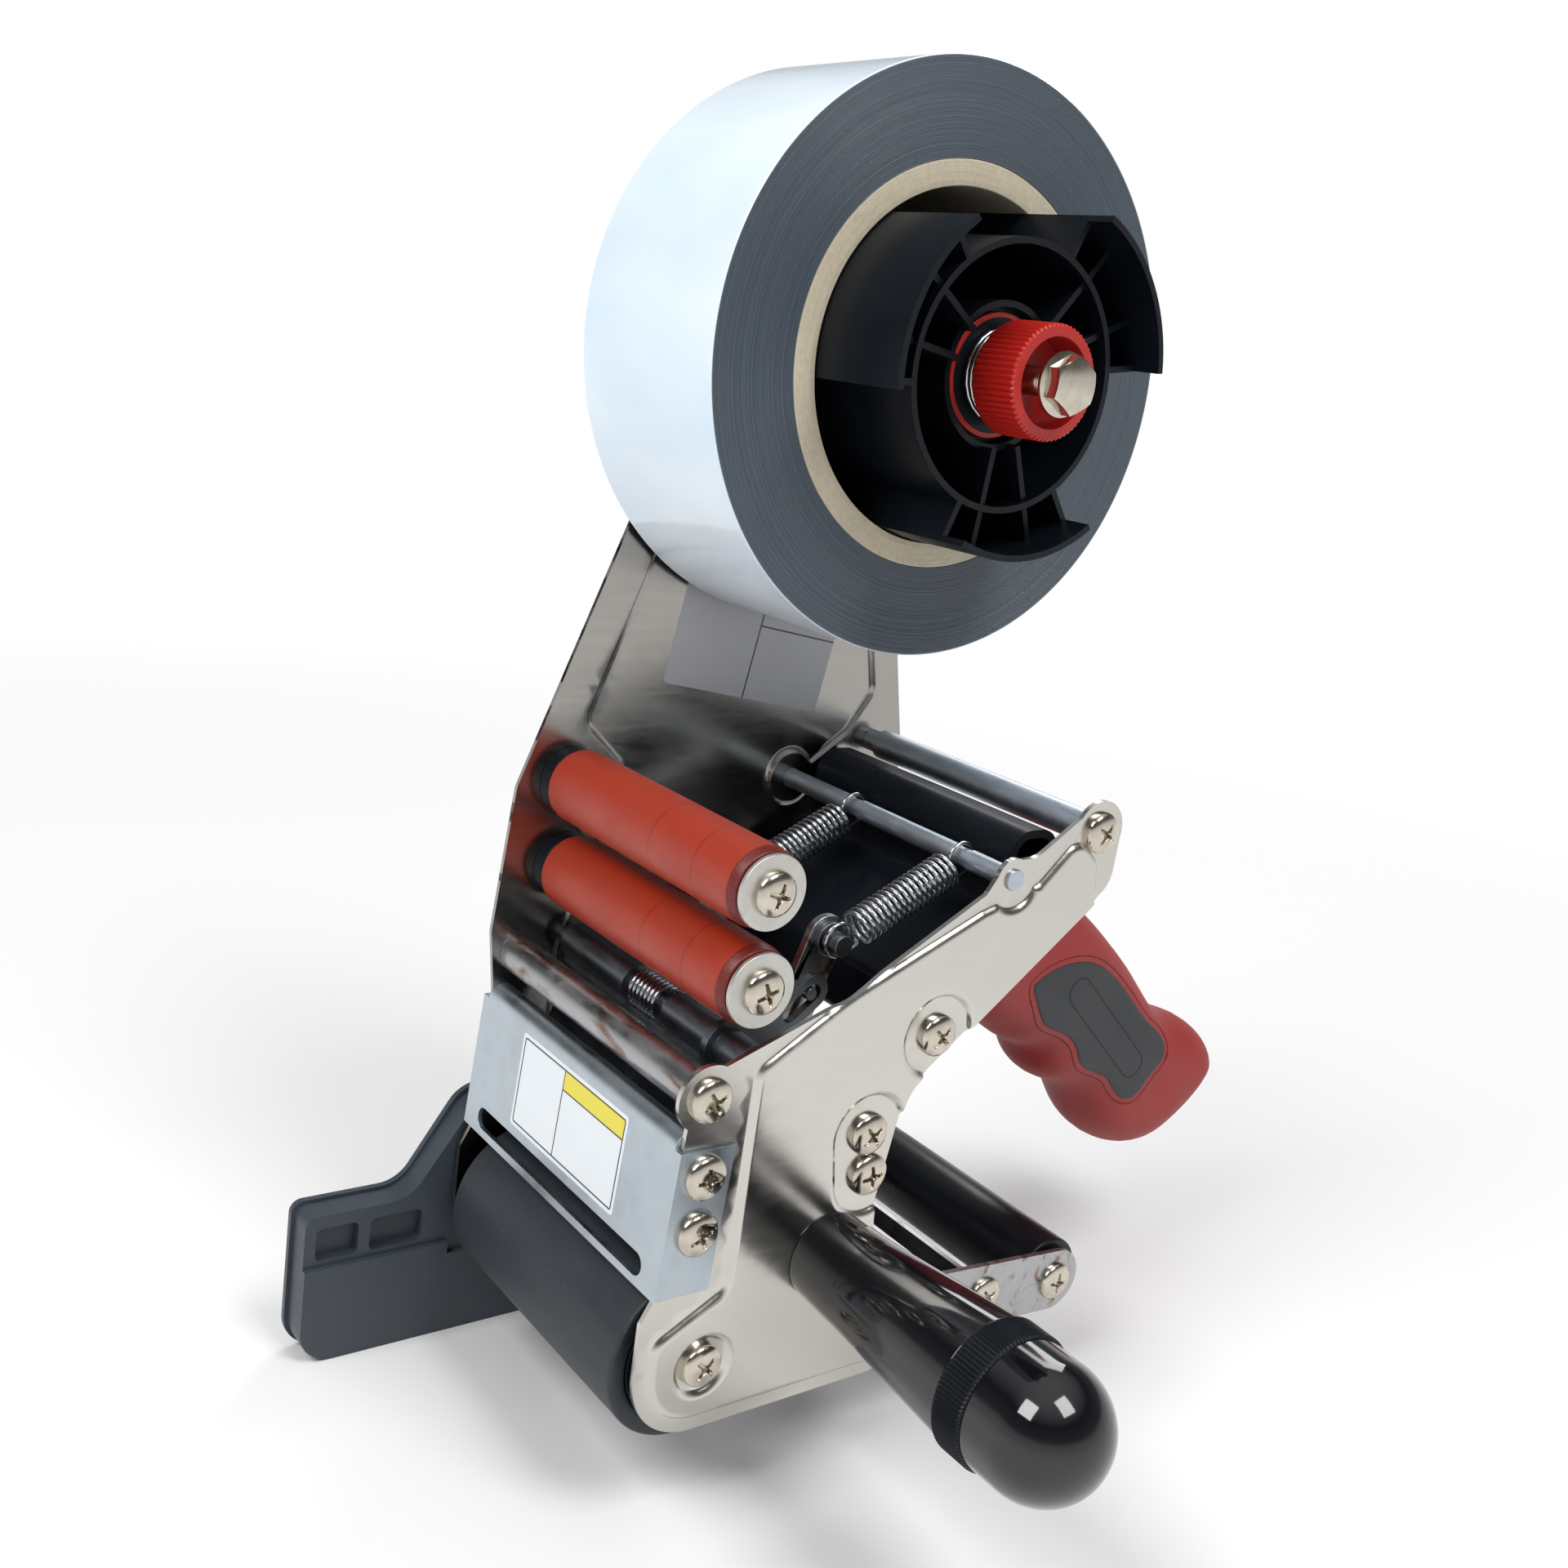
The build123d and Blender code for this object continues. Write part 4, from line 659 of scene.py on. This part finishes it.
def side_plate(node, material, side):
    """Sheet with smooth beads, between the outline of a solid and its raised panel."""
    low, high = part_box(node)
    inner_x, panel_x = (low.x, high.x) if side > 0 else (high.x, low.x)
    level_x = inner_x + side * plate_sheet
    relief = abs(panel_x - level_x)
    data = frame["nodes"][node].data
    corners = [vertex.co for vertex in data.vertices]
    solid = BVHTree.FromPolygons(corners, [polygon.vertices for polygon in data.polygons])

    def level_at(point):
        """0 off the sheet, 1 on its level face and 2 on its raised panel."""
        start = Vector((panel_x + side * plate_sheet, point.x, point.y))
        hit = solid.ray_cast(start, Vector((-side, 0, 0)))[0]
        if hit is None:
            return 0
        return 2 if abs(hit.x - panel_x) < relief / 3 else 1

    def levels_about(point):
        return {level_at(point + way) for way in probe_ways}

    level_loops = section_loops(node, level_x - side * plate_sheet / 4)
    panel_loops = section_loops(node, level_x + side * relief / 2)
    bead_points = []
    for loop in panel_loops:
        bead_points += [point for point in evenly(loop, 0.2 * mm) if levels_about(point) == {1, 2}]
    bead_tree = tree_of(bead_points)
    edges = []
    points = []
    for loop in level_loops + panel_loops:
        kept = evenly(loop, 1.0 * mm)
        following = kept[1:] + kept[:1]
        if all(0 in levels_about((start + end) / 2) for start, end in zip(kept, following)):
            edges += loop_edges(len(kept), len(points))
            points += kept
    rim_points = [points[second].lerp(points[first], 0.5) for first, second in edges] + points
    rim_tree = tree_of(rim_points)
    free = []
    for loop in panel_loops:
        kept = evenly(loop, 0.8 * mm)
        for index, point in enumerate(kept):
            across = normal_at(kept, index)
            for share in ring_shares:
                place = point + across * (share * bead_reach)
                close = abs(away(bead_tree, place) - abs(share) * bead_reach) < 0.1 * mm
                if close and away(rim_tree, place) > 0.45 * mm and level_at(place):
                    free.append(place)
    for place in staggered(rim_points, plate_grid):
        clear = away(rim_tree, place) > plate_grid / 2 and away(bead_tree, place) > bead_reach * 1.3
        if clear and level_at(place):
            free.append(place)
    flat, _, triangles = delaunay_2d_cdt(points + free, edges, [], 0, 1e-6)[:3]
    middles = [sum((flat[index] for index in triangle), Vector((0, 0))) / 3 for triangle in triangles]
    kept = [triangle for triangle, middle in zip(triangles, middles) if level_at(middle)]
    used = sorted({index for triangle in kept for index in triangle})
    renumber = {index: number for number, index in enumerate(used)}
    outer = []
    for index in used:
        gap = away(bead_tree, flat[index])
        signed = gap if 2 in levels_about(flat[index]) else -gap
        outer.append(Vector((level_x + side * relief * bead_rise(signed), flat[index].x, flat[index].y)))
    inner = [Vector((vertex.x - side * plate_sheet, vertex.y, vertex.z)) for vertex in outer]
    corners = [[renumber[index] for index in triangle] for triangle in kept]
    round_edges(stand_in(node, slab(outer, inner, corners, side), material), 0.16 * mm, 2, 60)


side_plate("near_side_plate", near_steel, 1)
side_plate("far_side_plate", far_steel, -1)

# Pan head screws

head_rings = 26
head_sides = 72
shank = 2.0 * mm
skirt_share = 0.3
dome_power = 2.6
recess_share = 0.6
arm_reach = 0.56
arm_width = 0.11
arm_taper = 0.045
hub_reach = 0.2
chance = random.Random(7)


def slope(distance, width):
    """From 0 outside an edge to 1 at a width inside it."""
    return min(1.0, max(0.0, distance / width))


def recess(across, up):
    """Depth of the cross recess, from 0 to 1, at a place in shares of the head's radius."""
    depth = slope(hub_reach - math.hypot(across, up), 0.06)
    for along, over in ((abs(across), abs(up)), (abs(up), abs(across))):
        width = arm_width - arm_taper * along / arm_reach
        depth = max(depth, slope(arm_reach - along, 0.1) * slope(width - over, 0.035))
    return depth


def screw_head(centre, seat_x, top_x, radius):
    """Vertices and faces of one domed head with a cross recess, closed at its seat."""
    height = top_x - seat_x
    twist = chance.uniform(0, math.pi / 2)
    ways = circle(head_sides)
    vertices = [(seat_x + height * 0.4, *centre)]
    for ring in range(1, head_rings + 1):
        share = ring / head_rings
        dome = skirt_share + (1 - skirt_share) * math.sqrt(max(0.0, 1 - share ** dome_power))
        for step, (across, up) in enumerate(ways):
            turn = 2 * math.pi * step / head_sides - twist
            level = dome - recess_share * recess(share * math.cos(turn), share * math.sin(turn))
            reach = radius * share
            vertices.append((seat_x + height * level, centre[0] + reach * across, centre[1] + reach * up))
    vertices += [(seat_x, centre[0] + radius * across, centre[1] + radius * up) for across, up in ways]
    last = 1 + head_rings * head_sides
    faces = [range(last, last + head_sides)[::-1]]
    for step in range(head_sides):
        after = (step + 1) % head_sides
        faces.append((0, 1 + step, 1 + after))
        for ring in range(head_rings):
            here = 1 + ring * head_sides
            there = here + head_sides
            faces.append((here + step, there + step, there + after, here + after))
    if height < 0:
        faces = [face[::-1] for face in faces]
    return vertices, faces


def screws(node):
    """Heads and shanks of every screw in a node, read from the solids' places."""
    shapes = []
    for solid in islands(node):
        xs, ys, zs = zip(*solid)
        centre = ((min(ys) + max(ys)) / 2, (min(zs) + max(zs)) / 2)
        radius = (max(ys) - min(ys)) / 2
        wide = [x for x, y, z in solid if math.hypot(y - centre[0], z - centre[1]) > radius * 0.9]
        outward = abs(max(xs) - max(wide)) < abs(min(xs) - min(wide))
        seat_x, top_x, tip_x = (min(wide), max(xs), min(xs)) if outward else (max(wide), min(xs), max(xs))
        shapes.append(screw_head(centre, seat_x, top_x, radius))
        shapes.append(turned(sorted([(seat_x, shank), (tip_x, shank)]), centre, 24, False))
    stand_in(node, merged(shapes))


for node in ("frame", "body", "guide_roller", "rocker", "cover", "guide_mount"):
    screws(node + "_screws")

# Rounded copies of the hard pieces

for node in (
    "front_cross_tube", "rocker_pivot", "stop_bar", "front_roller_axle",
    "front_roller_core", "upper_guide_roller_core", "lower_guide_roller_core", "guide_roller_axles",
    "rocker_tube", "rocker_arms", "rocker_crossbar", "near_lever", "far_lever",
    "rear_roller_axle", "rear_roller_core", "blade_screws", "blade_cover",
    "body_shell", "grip_pins", "handle_stud", "mandrel_hub", "mandrel_bushes",
    "mandrel_lock_nut", "brake_flange", "side_guide",
):
    softened(node)
softened("cutting_blade", 0.05 * mm, None, 1)
softened("guide_roller_collars")
for node in ("lever_posts", "blade_holder", "carriage_shaft"):
    softened(node, material=dark_steel)
for node in ("rear_cross_tube", "spring_rod"):
    softened(node, material=tube_steel)

# Rollers

chamfer_rise = 0.7 * mm
guide_bore = 6.5 * mm
washer_bore = 2.1 * mm
washers = []
for node in ("upper_guide_roller_rubber", "lower_guide_roller_rubber"):
    low, high, outer = span_of(node)
    rim = outer - chamfer_rise
    chamfer_x = high - chamfer_length
    profile = [(low, guide_bore), (low, outer), (chamfer_x, outer), (high, rim), (high, guide_bore)]
    stand_in(node, turned(eased(profile, 0.5 * mm, 5), centre_of(node), 144))
    low, high, _ = span_of("guide_roller_washers")
    profile = [(low, washer_bore), (low, rim), (high, rim), (high, washer_bore)]
    washers.append(turned(eased(profile, 0.25 * mm, 4), centre_of(node), 120))
stand_in("guide_roller_washers", merged(washers), washer_zinc)
sleeve("front_roller_rubber", inner=16.0 * mm, reach=0.9 * mm)
sleeve("rear_roller_rubber", inner=7.0 * mm, reach=0.8 * mm, material=rear_rubber)

# Tape roll and core

roll_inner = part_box("tape_core")[1].z + 0.06 * mm
side_profile = []
for step in range(int((roll_outer - roll_inner) / winding)):
    side_profile.append((chance.uniform(0.0, 0.09) * mm, roll_inner + (step + 0.5) * winding))
side_profile += [(0.05 * mm, roll_outer - 0.2 * mm), (0.3 * mm, roll_outer)]
profile = [(roll_low.x + inset, radius) for inset, radius in side_profile]
profile += [(roll_high.x - inset, radius) for inset, radius in reversed(side_profile)]
profile += [(roll_high.x, roll_inner), (roll_low.x, roll_inner)]
stand_in("tape_roll", turned(profile, (0, 0), 240))
sleeve("tape_core", inner=38.1 * mm, reach=0.4 * mm)

# Side handle

handle_bore = 4.1 * mm
handle_base = 10.4 * mm
axis_gap = 0.1 * mm
low, high, handle_end = span_of("handle_tube")
shoulder = (low + (high - low) * 0.3, handle_base + (handle_end - handle_base) * 0.2)
profile = [(low, handle_bore), (low, handle_base), shoulder, (high, handle_end), (high, handle_bore)]
stand_in("handle_tube", turned(eased(profile, 0.5 * mm, 4), centre_of("handle_tube"), 160))
low, high, outer = span_of("handle_ring")
rim = 0.5 * mm
half = [(0, axis_gap), (0, outer - rim), (rim, outer), (2 * rim, outer)]
profile = [(low + inset, radius) for inset, radius in half]
profile += [(high - inset, radius) for inset, radius in reversed(half)]
ribs = (100, 0.35 * mm, low + rim / 2, high - rim / 2, 0.0)
stand_in("handle_ring", turned(profile, centre_of("handle_ring"), 600, False, ribs))
low, high, dome = span_of("handle_cap")
dome_steps = 28
profile = [(low, axis_gap), (low, dome)]
for step in range(dome_steps):
    angle = math.pi / 2 * step / dome_steps
    profile.append((high - dome + dome * math.sin(angle), dome * math.cos(angle)))
profile.append((high, 0.02 * mm))
stand_in("handle_cap", turned(profile, centre_of("handle_cap"), 160, False))

# Brake knob with fine ribs, and the dark ring on the brake flange

low, high, knob = span_of("brake_knob")
wall = 2.6 * mm
web_low = low + 4.4 * mm
web_high = web_low + 3.0 * mm
bolt_bore = 3.06 * mm
knob_low = low + 3.2 * mm
profile = [
    (knob_low, knob - wall), (knob_low, knob - 0.5 * mm), (knob_low + 0.5 * mm, knob),
    (knob_low + 1.0 * mm, knob), (high - 1.0 * mm, knob), (high - 0.5 * mm, knob),
    (high, knob - 0.6 * mm), (high, knob - wall),
    (web_high, knob - wall - 0.3 * mm), (web_high, bolt_bore), (web_low, bolt_bore), (web_low, knob - wall),
]
ribs = (60, 0.55 * mm, knob_low + 0.3 * mm, high - 0.3 * mm, knob - wall + 0.5 * mm)
stand_in("brake_knob", turned(profile, (0, 0), 480, True, ribs))
_, high, outer = span_of("brake_flange")
ring_low, ring_high = high - 0.2 * mm, high + 0.12 * mm
ring_bore, ring_rim = 3.2 * mm, outer - 1.1 * mm
profile = [(ring_low, ring_bore), (ring_low, ring_rim), (ring_high, ring_rim), (ring_high, ring_bore)]
felt = turned(eased(profile, 0.1 * mm, 3), (0, 0), 120)
add("brake_felt", *felt, paints["black_plastic"], "brake_flange")

# Bolt of the mandrel: threaded shank, washer face and a chamfered hexagon

low, high, _ = span_of("mandrel_bolt")
bolt_radius = 3.0 * mm
thread_root = bolt_radius - 0.35 * mm
thread_pitch = 1.0 * mm
flange_seat = high - 4.6 * mm
flange_rim = 6.7 * mm
thread_start = flange_seat - 12.0 * mm
profile = [(low, thread_root), (low + bolt_radius - thread_root, bolt_radius), (thread_start, bolt_radius)]
for turn in range(int((flange_seat - thread_start) / thread_pitch)):
    crest = thread_start + (turn + 1) * thread_pitch
    profile += [(crest - thread_pitch / 2, thread_root), (crest, bolt_radius)]
half_across = 5.3 * mm
hex_base = flange_seat + 1.3 * mm
profile += [(flange_seat, bolt_radius), (flange_seat, flange_rim), (flange_seat + 0.7 * mm, flange_rim)]
profile += [(hex_base, half_across), (hex_base + 0.1 * mm, 4.6 * mm)]
top_circle = 5.05 * mm
chamfer_slope = math.tan(math.radians(30))
sixth = math.pi / 3
hex_sides = 120
hexagon = [[], [], []]
for step, (across, up) in enumerate(circle(hex_sides)):
    angle = 2 * math.pi * step / hex_sides
    corner = half_across / math.cos((angle + sixth / 2) % sixth - sixth / 2)
    drop = max(0.0, corner - top_circle) * chamfer_slope
    rims = ((hex_base, corner), (high - drop, corner), (high, min(corner, top_circle)))
    for ring, (along, reach) in zip(hexagon, rims):
        ring.append((along, across * reach, up * reach))
head = (sum(hexagon, []), ringed(len(hexagon), hex_sides))
stand_in("mandrel_bolt", merged([turned(profile, (0, 0), 96, False), head]))

# Springs

wire = 0.5 * mm
spring_turns = 18
spring_body = 28.0 * mm
spring_radius = 4.1 * mm
loop_radius = 3.9 * mm
loop_shift = 0.9 * mm
rod_at = centre_of("spring_rod")
posts = [[sum(values) / len(solid) for values in list(zip(*solid))[1:]] for solid in islands("lever_posts")]
post_at = max(posts, key=lambda place: place[1])


def coil(origin, along, side, up, radius, pitch, turns, turn_steps):
    """Points along a helix."""
    points = []
    for step in range(turn_steps * turns + 1):
        turn = step / turn_steps
        over = radius * math.cos(2 * math.pi * turn)
        rise = radius * math.sin(2 * math.pi * turn)
        points.append(origin + along * (pitch * turn) + side * over + up * rise)
    return points


def smooth_path(points, step):
    """Points along a NURBS path through a list of control points."""
    curve = bpy.data.curves.new("path", "CURVE")
    curve.dimensions = "3D"
    spline = curve.splines.new("NURBS")
    spline.points.add(len(points) - 1)
    for target, point in zip(spline.points, points):
        target.co = (*point, 1.0)
    spline.order_u = 4
    spline.use_endpoint_u = True
    spline.resolution_u = step
    holder = bpy.data.objects.new("path", curve)
    mesh = bpy.data.meshes.new_from_object(holder)
    found = [vertex.co.copy() for vertex in mesh.vertices]
    bpy.data.objects.remove(holder)
    bpy.data.meshes.remove(mesh)
    bpy.data.curves.remove(curve)
    return found


def hook(eye, along, side):
    """Open loop round a rod, from its free end to where it leaves for the coil."""
    steps = 22
    angles = [math.radians(35 - 305 * step / steps) for step in range(steps + 1)]
    return [eye + along * (loop_radius * math.cos(a)) + side * (loop_radius * math.sin(a)) for a in angles]


for node in ("near_tension_spring", "far_tension_spring"):
    low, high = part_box(node)
    across = (low.x + high.x) / 2
    rod = Vector((across, *rod_at))
    post = Vector((across, *post_at))
    along = (post - rod).normalized()
    side = along.cross(east) * -1
    start = rod + along * (((post - rod).length - spring_body) / 2)
    points = hook(rod + along * loop_shift, along, side)
    points += coil(start, along, side, east, spring_radius, spring_body / spring_turns, spring_turns, 20)
    points += reversed(hook(post - along * loop_shift, along * -1, side))
    stand_in(node, tube(smooth_path(points, 2), wire), span=(tuple(rod), tuple(post)))


carriage_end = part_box("carriage_spring")[1].x
for node, centre, radius, turns, side, end_x in (
    ("carriage_spring", centre_of("carriage_shaft"), 4.2 * mm, 7, Vector((0, 0, 1)), carriage_end),
    ("brake_spring", (0, 0), 9.7 * mm, 3, Vector((0, 1, 0)), knob_low),
):
    low_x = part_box(node)[0].x
    start = Vector((low_x + wire, *centre))
    pitch = (end_x - low_x - 2 * wire) / turns
    stand_in(node, tube(coil(start, east, side, east.cross(side), radius, pitch, turns, 24), wire))

# Pistol grip: a rounded shell over the outline of its solid, with an inlaid panel on each side

grip_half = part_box("grip_rubber")[1].x
grip_round = 13.0 * mm
grip_loop = evenly(section_loops("grip_rubber", grip_half * 0.6)[0], 1.6 * mm)
grip_tree = tree_of(grip_loop)
grip_depths = (0.25, 0.6, 1.1, 1.8, 2.7, 3.8, 5.2, 7.0, 9.2)
panel_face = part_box("grip_panels")[1].x
panel_loop = evenly(section_loops("grip_panels", panel_face - 0.5 * mm)[0], 1.0 * mm)
panel_tree = tree_of(panel_loop)
panel_depths = (0.15, 0.4, 0.8, 1.6, 2.8)
panel_stand = 0.28 * mm
panel_edge_reach = 0.7 * mm


def grip_thickness(point):
    """Half thickness of the grip at a place inside its outline."""
    gap = min(away(grip_tree, point), grip_round)
    share = 1 - gap / grip_round
    return grip_half * math.sqrt(max(0.0, 1 - share ** 2.2))


def offset_loop(loop, reach):
    """Loop moved outwards by a reach, or inwards where the reach is negative."""
    return [point - inward_at(loop, index, 2) * reach for index, point in enumerate(loop)]


points = []
for index, start in enumerate(grip_loop):
    inward = inward_at(grip_loop, index)
    for depth in grip_depths:
        place = start + inward * depth * mm
        if away(grip_tree, place) > depth * mm * 0.93 and inside(grip_loop, place):
            points.append(place)
flat, triangles = filled(grip_loop, points, 2.5 * mm, 10.5 * mm)
count = len(grip_loop)
heights = [0.0 if index < count else grip_thickness(point) for index, point in enumerate(flat)]
near_half = lifted(flat, heights)
far_half = lifted(flat[count:], heights[count:], -1)
faces = []
for triangle in triangles:
    mirror = [index if index < count else index + len(far_half) for index in reversed(triangle)]
    faces += [triangle, mirror]
stand_in("grip_rubber", (near_half + far_half, faces))

points = [point for depth in panel_depths for point in offset_loop(panel_loop, -depth * mm)]
flat, triangles = filled(panel_loop, points, 2.2 * mm, 3.8 * mm)
heights = []
for point in flat:
    share = min(1.0, away(panel_tree, point) / panel_edge_reach)
    rounding = math.sqrt(max(0.0, 1 - (1 - share) ** 2))
    heights.append(grip_thickness(point) + panel_stand * (2 * rounding - 1))
floors = [grip_half - 1.6 * mm] * len(flat)
panels = [slab(lifted(flat, heights, side), lifted(flat, floors, side), triangles, side) for side in (1, -1)]
stand_in("grip_panels", merged(panels))


def moulded_line(name, loop, sink, radius, material, node):
    """Fine dark line round a loop on both curved sides of the grip."""
    loop = loop + loop[:2]
    heights = [grip_thickness(point) - sink for point in loop]
    add(name, *merged([tube(lifted(loop, heights, side), radius, 6) for side in (1, -1)]), material, node)


def stadium(start, end, steps):
    """Centres and unit vectors round a long shape with round ends."""
    way = (end - start).normalized()
    found = []
    for place, opening in ((start, math.pi / 2), (end, -math.pi / 2)):
        for step in range(steps + 1):
            turn = math.atan2(way.y, way.x) + opening + math.pi * step / steps
            found.append((place, Vector((math.cos(turn), math.sin(turn)))))
    return found


rim_loop = evenly(offset_loop(panel_loop, 1.5 * mm), 1.0 * mm)
moulded_line("grip_rim_line", rim_loop, 0.06 * mm, 0.17 * mm, dark_red, "grip_rubber")
stadium_ends = (Vector((77.1, -154.9)) * mm, Vector((104.8, -180.2)) * mm)
stadium_radius = 4.0 * mm
field_loop = evenly([place + way * stadium_radius for place, way in stadium(*stadium_ends, 16)], 1.0 * mm)
moulded_line("grip_panel_line", field_loop, -0.22 * mm, 0.2 * mm, dark_line, "grip_panels")

# Pressed ribs on the levers

rib_half_width = 2.2 * mm
rib_height = 0.7 * mm
rib_rows = 7
lever_post_at = Vector((-21.4, -126.4)) * mm
lever_bend_at = Vector((-33.5, -163.0)) * mm
rib_start = lever_post_at.lerp(lever_bend_at, 0.34)
rib_end = lever_post_at.lerp(lever_bend_at, 0.97)
for node in ("near_lever", "far_lever"):
    foot_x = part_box(node)[1].x - 0.05 * mm
    rim = stadium(rib_start, rib_end, 12)
    vertices = []
    for row in range(rib_rows):
        share = row / (rib_rows - 1)
        rise = rib_height * math.sin(math.pi / 2 * share) ** 1.5
        for place, way in rim:
            spot = place + way * rib_half_width * (1 - share * 0.97)
            vertices.append((foot_x + rise, spot.x, spot.y))
    add(node + "_rib", vertices, ringed(rib_rows, len(rim)), None, node)

# Blank labels, with their dividing lines and the yellow band but no print

label_sheet = 0.12 * mm
least_corner = 0.05 * mm


def label(name, plane, size, corner, lift, material, node, hole=None):
    """Thin rounded rectangle on a flat face, or a thin frame where a hole is given."""
    origin, across, up, out = plane

    def outline(inset, radius, level):
        right, top = size[0] - 2 * inset - radius, size[1] - 2 * inset - radius
        points = []
        for quarter, (x, y) in enumerate(((right, top), (radius, top), (radius, radius), (right, radius))):
            for step in range(7):
                angle = math.pi / 2 * (quarter + step / 6)
                over = inset + x + radius * math.cos(angle)
                rise = inset + y + radius * math.sin(angle)
                points.append(origin + across * over + up * rise + out * level)
        return points

    low = lift - label_sheet
    rings = [outline(0, corner, low), outline(0, corner, lift)]
    if hole:
        inner = max(corner - hole, least_corner)
        rings += [outline(hole, inner, lift), outline(hole, inner, low)]
    add(name, sum(rings, []), ringed(len(rings), len(rings[0]), bool(hole)), material, node)


cover_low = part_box("blade_cover")[0]
cover_lean = 2.2 * mm
cover_front_top = -161.0 * mm
cover_up = Vector((0, cover_lean, cover_front_top - cover_low.z)).normalized()
cover_out = Vector((0, -cover_up.z, cover_up.y))
label_low_x, label_high_x = -22.8 * mm, 24.4 * mm
label_low_z, label_high_z = -185.0 * mm, -162.0 * mm
label_size = (label_high_x - label_low_x, label_high_z - label_low_z)
divider_x = -3.0 * mm
line_width = 0.35 * mm
inset = 0.9 * mm
band_height = 4.6 * mm
skin = 0.06 * mm
line_lift = skin + 0.03 * mm
inner_size = (label_size[0] - 2 * inset, label_size[1] - 2 * inset)
inner_x, inner_z = label_low_x + inset, label_low_z + inset
band_x = divider_x + line_width
band_z = label_high_z - inset - band_height
band_width = label_high_x - inset - band_x
band_line_size = (band_width, line_width)
for name, x, z, size, corner, lift, material, hole in (
    ("", label_low_x, label_low_z, label_size, 1.0 * mm, skin, label_white, None),
    ("_border", inner_x, inner_z, inner_size, 0.7 * mm, skin + 0.04 * mm, label_line, line_width),
    ("_divider", divider_x, inner_z, (line_width, inner_size[1]), least_corner, line_lift, label_line, None),
    ("_band", band_x, band_z, (band_width, band_height), least_corner, skin + 0.02 * mm, label_yellow, None),
    ("_band_line", band_x, band_z - line_width, band_line_size, least_corner, line_lift, label_line, None),
):
    share = (z - cover_low.z) / (cover_front_top - cover_low.z)
    origin = Vector((x, cover_low.y + cover_lean * share, z))
    plane = (origin, east, cover_up, cover_out)
    label("cover_label" + name, plane, size, corner, lift, material, "blade_cover", hole)

far_corner = Vector((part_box("far_side_plate")[0].x + plate_sheet, -29.7 * mm, -83.1 * mm))
far_across = Vector((0, 49.0, -8.1)).normalized()
far_up = Vector((0, 8.1, 49.0)).normalized()
far_size = (49.7 * mm, 31.0 * mm)
far_middle = far_corner + far_across * (far_size[0] / 2)
far_line = 0.4 * mm
rule_height = 18.8 * mm
for name, origin, size, corner, lift, material in (
    ("far_label", far_corner, far_size, 1.6 * mm, skin, label_grey),
    ("far_label_divider", far_middle, (far_line, far_size[1]), least_corner, line_lift, label_line),
    ("far_label_rule", far_middle + far_up * rule_height, (far_size[0] / 2, far_line), least_corner,
     skin + 0.02 * mm, label_line),
):
    label(name, (origin, far_across, far_up, east), size, corner, lift, material, "far_side_plate")

# Camera, floor, world and lamps

camera_data = bpy.data.cameras.new("camera")
camera_data.lens = 38.0611
camera_data.sensor_width = 36.0
camera_data.clip_end = 20.0
camera = bpy.data.objects.new("camera", camera_data)
camera.location = (291.711 * mm, -252.705 * mm, -4.156 * mm)
camera.rotation_euler = (math.radians(75.8419), math.radians(-7.8798), math.radians(53.58627))
bpy.context.scene.collection.objects.link(camera)
bpy.context.scene.camera = camera

floor_z = cad_bounds[0][2]
floor_radius = 4.0
floor_sides = 96
vertices = [(0.0, 0.0, floor_z)]
vertices += [(floor_radius * x, floor_radius * y, floor_z) for x, y in circle(floor_sides)]
faces = [(0, 1 + step, 1 + (step + 1) % floor_sides) for step in range(floor_sides)]
floor_mesh = bpy.data.meshes.new("floor")
floor_mesh.from_pydata(vertices, [], faces)
floor = bpy.data.objects.new("floor", floor_mesh)
bpy.context.scene.collection.objects.link(floor)
ground = Paint("floor", grey(0.86), 0.9)
glow = ground.new("Emission", {"Color": grey(1.0)})[0]
rays = ground.new("LightPath", {})
fade = ground.scaled(ground.radius(0, 1), 0.0, 1.0, 0.25, 0.9)
seen = ground.maths("MAXIMUM", rays["Is Camera Ray"], rays["Is Glossy Ray"])
glow_share = ground.maths("MULTIPLY", fade, seen)
ground_mix = ground.new("MixShader", {0: glow_share, 1: ground.shader.outputs[0], 2: glow})[0]
ground.put(ground.nodes["Material Output"].inputs["Surface"], ground_mix)
floor_mesh.materials.append(ground.material)

world = bpy.data.worlds.new("studio")
world.use_nodes = True
bpy.context.scene.world = world
sky = Nodes(world.node_tree, "Generated")
height = sky.scaled(sky.parts()[2], 0.0, 1.0, -1.0, 1.0)
stops = ((0.0, 0.75), (0.5, 0.85), (0.57, 0.75), (0.64, 0.18), (0.8, 0.06), (0.9, 0.5), (1.0, 0.85))
studio = sky.ramp(height, *((position, grey(level)) for position, level in stops))
sky_colour = sky.mixed(sky.new("LightPath", {})["Is Camera Ray"], studio, grey(1.0))
background = sky.nodes["Background"]
sky.put(background.inputs["Color"], sky_colour)
background.inputs["Strength"].default_value = 1.0

middle = Vector((0.0, 0.0, -0.1))
for name, place, width, height, power in (
    ("key", (0.1, -1.0, 0.9), 0.6, 0.6, 12.0),
    ("fill", (0.75, 0.1, 1.0), 0.5, 0.6, 9.0),
    ("back", (-0.7, 0.9, 0.8), 0.6, 0.6, 6.0),
):
    lamp = bpy.data.lights.new(name, "AREA")
    lamp.shape = "RECTANGLE"
    lamp.size = width
    lamp.size_y = height
    lamp.energy = power
    softbox = bpy.data.objects.new(name, lamp)
    softbox.location = place
    softbox.rotation_euler = (middle - Vector(place)).to_track_quat("-Z", "Y").to_euler()
    bpy.context.scene.collection.objects.link(softbox)
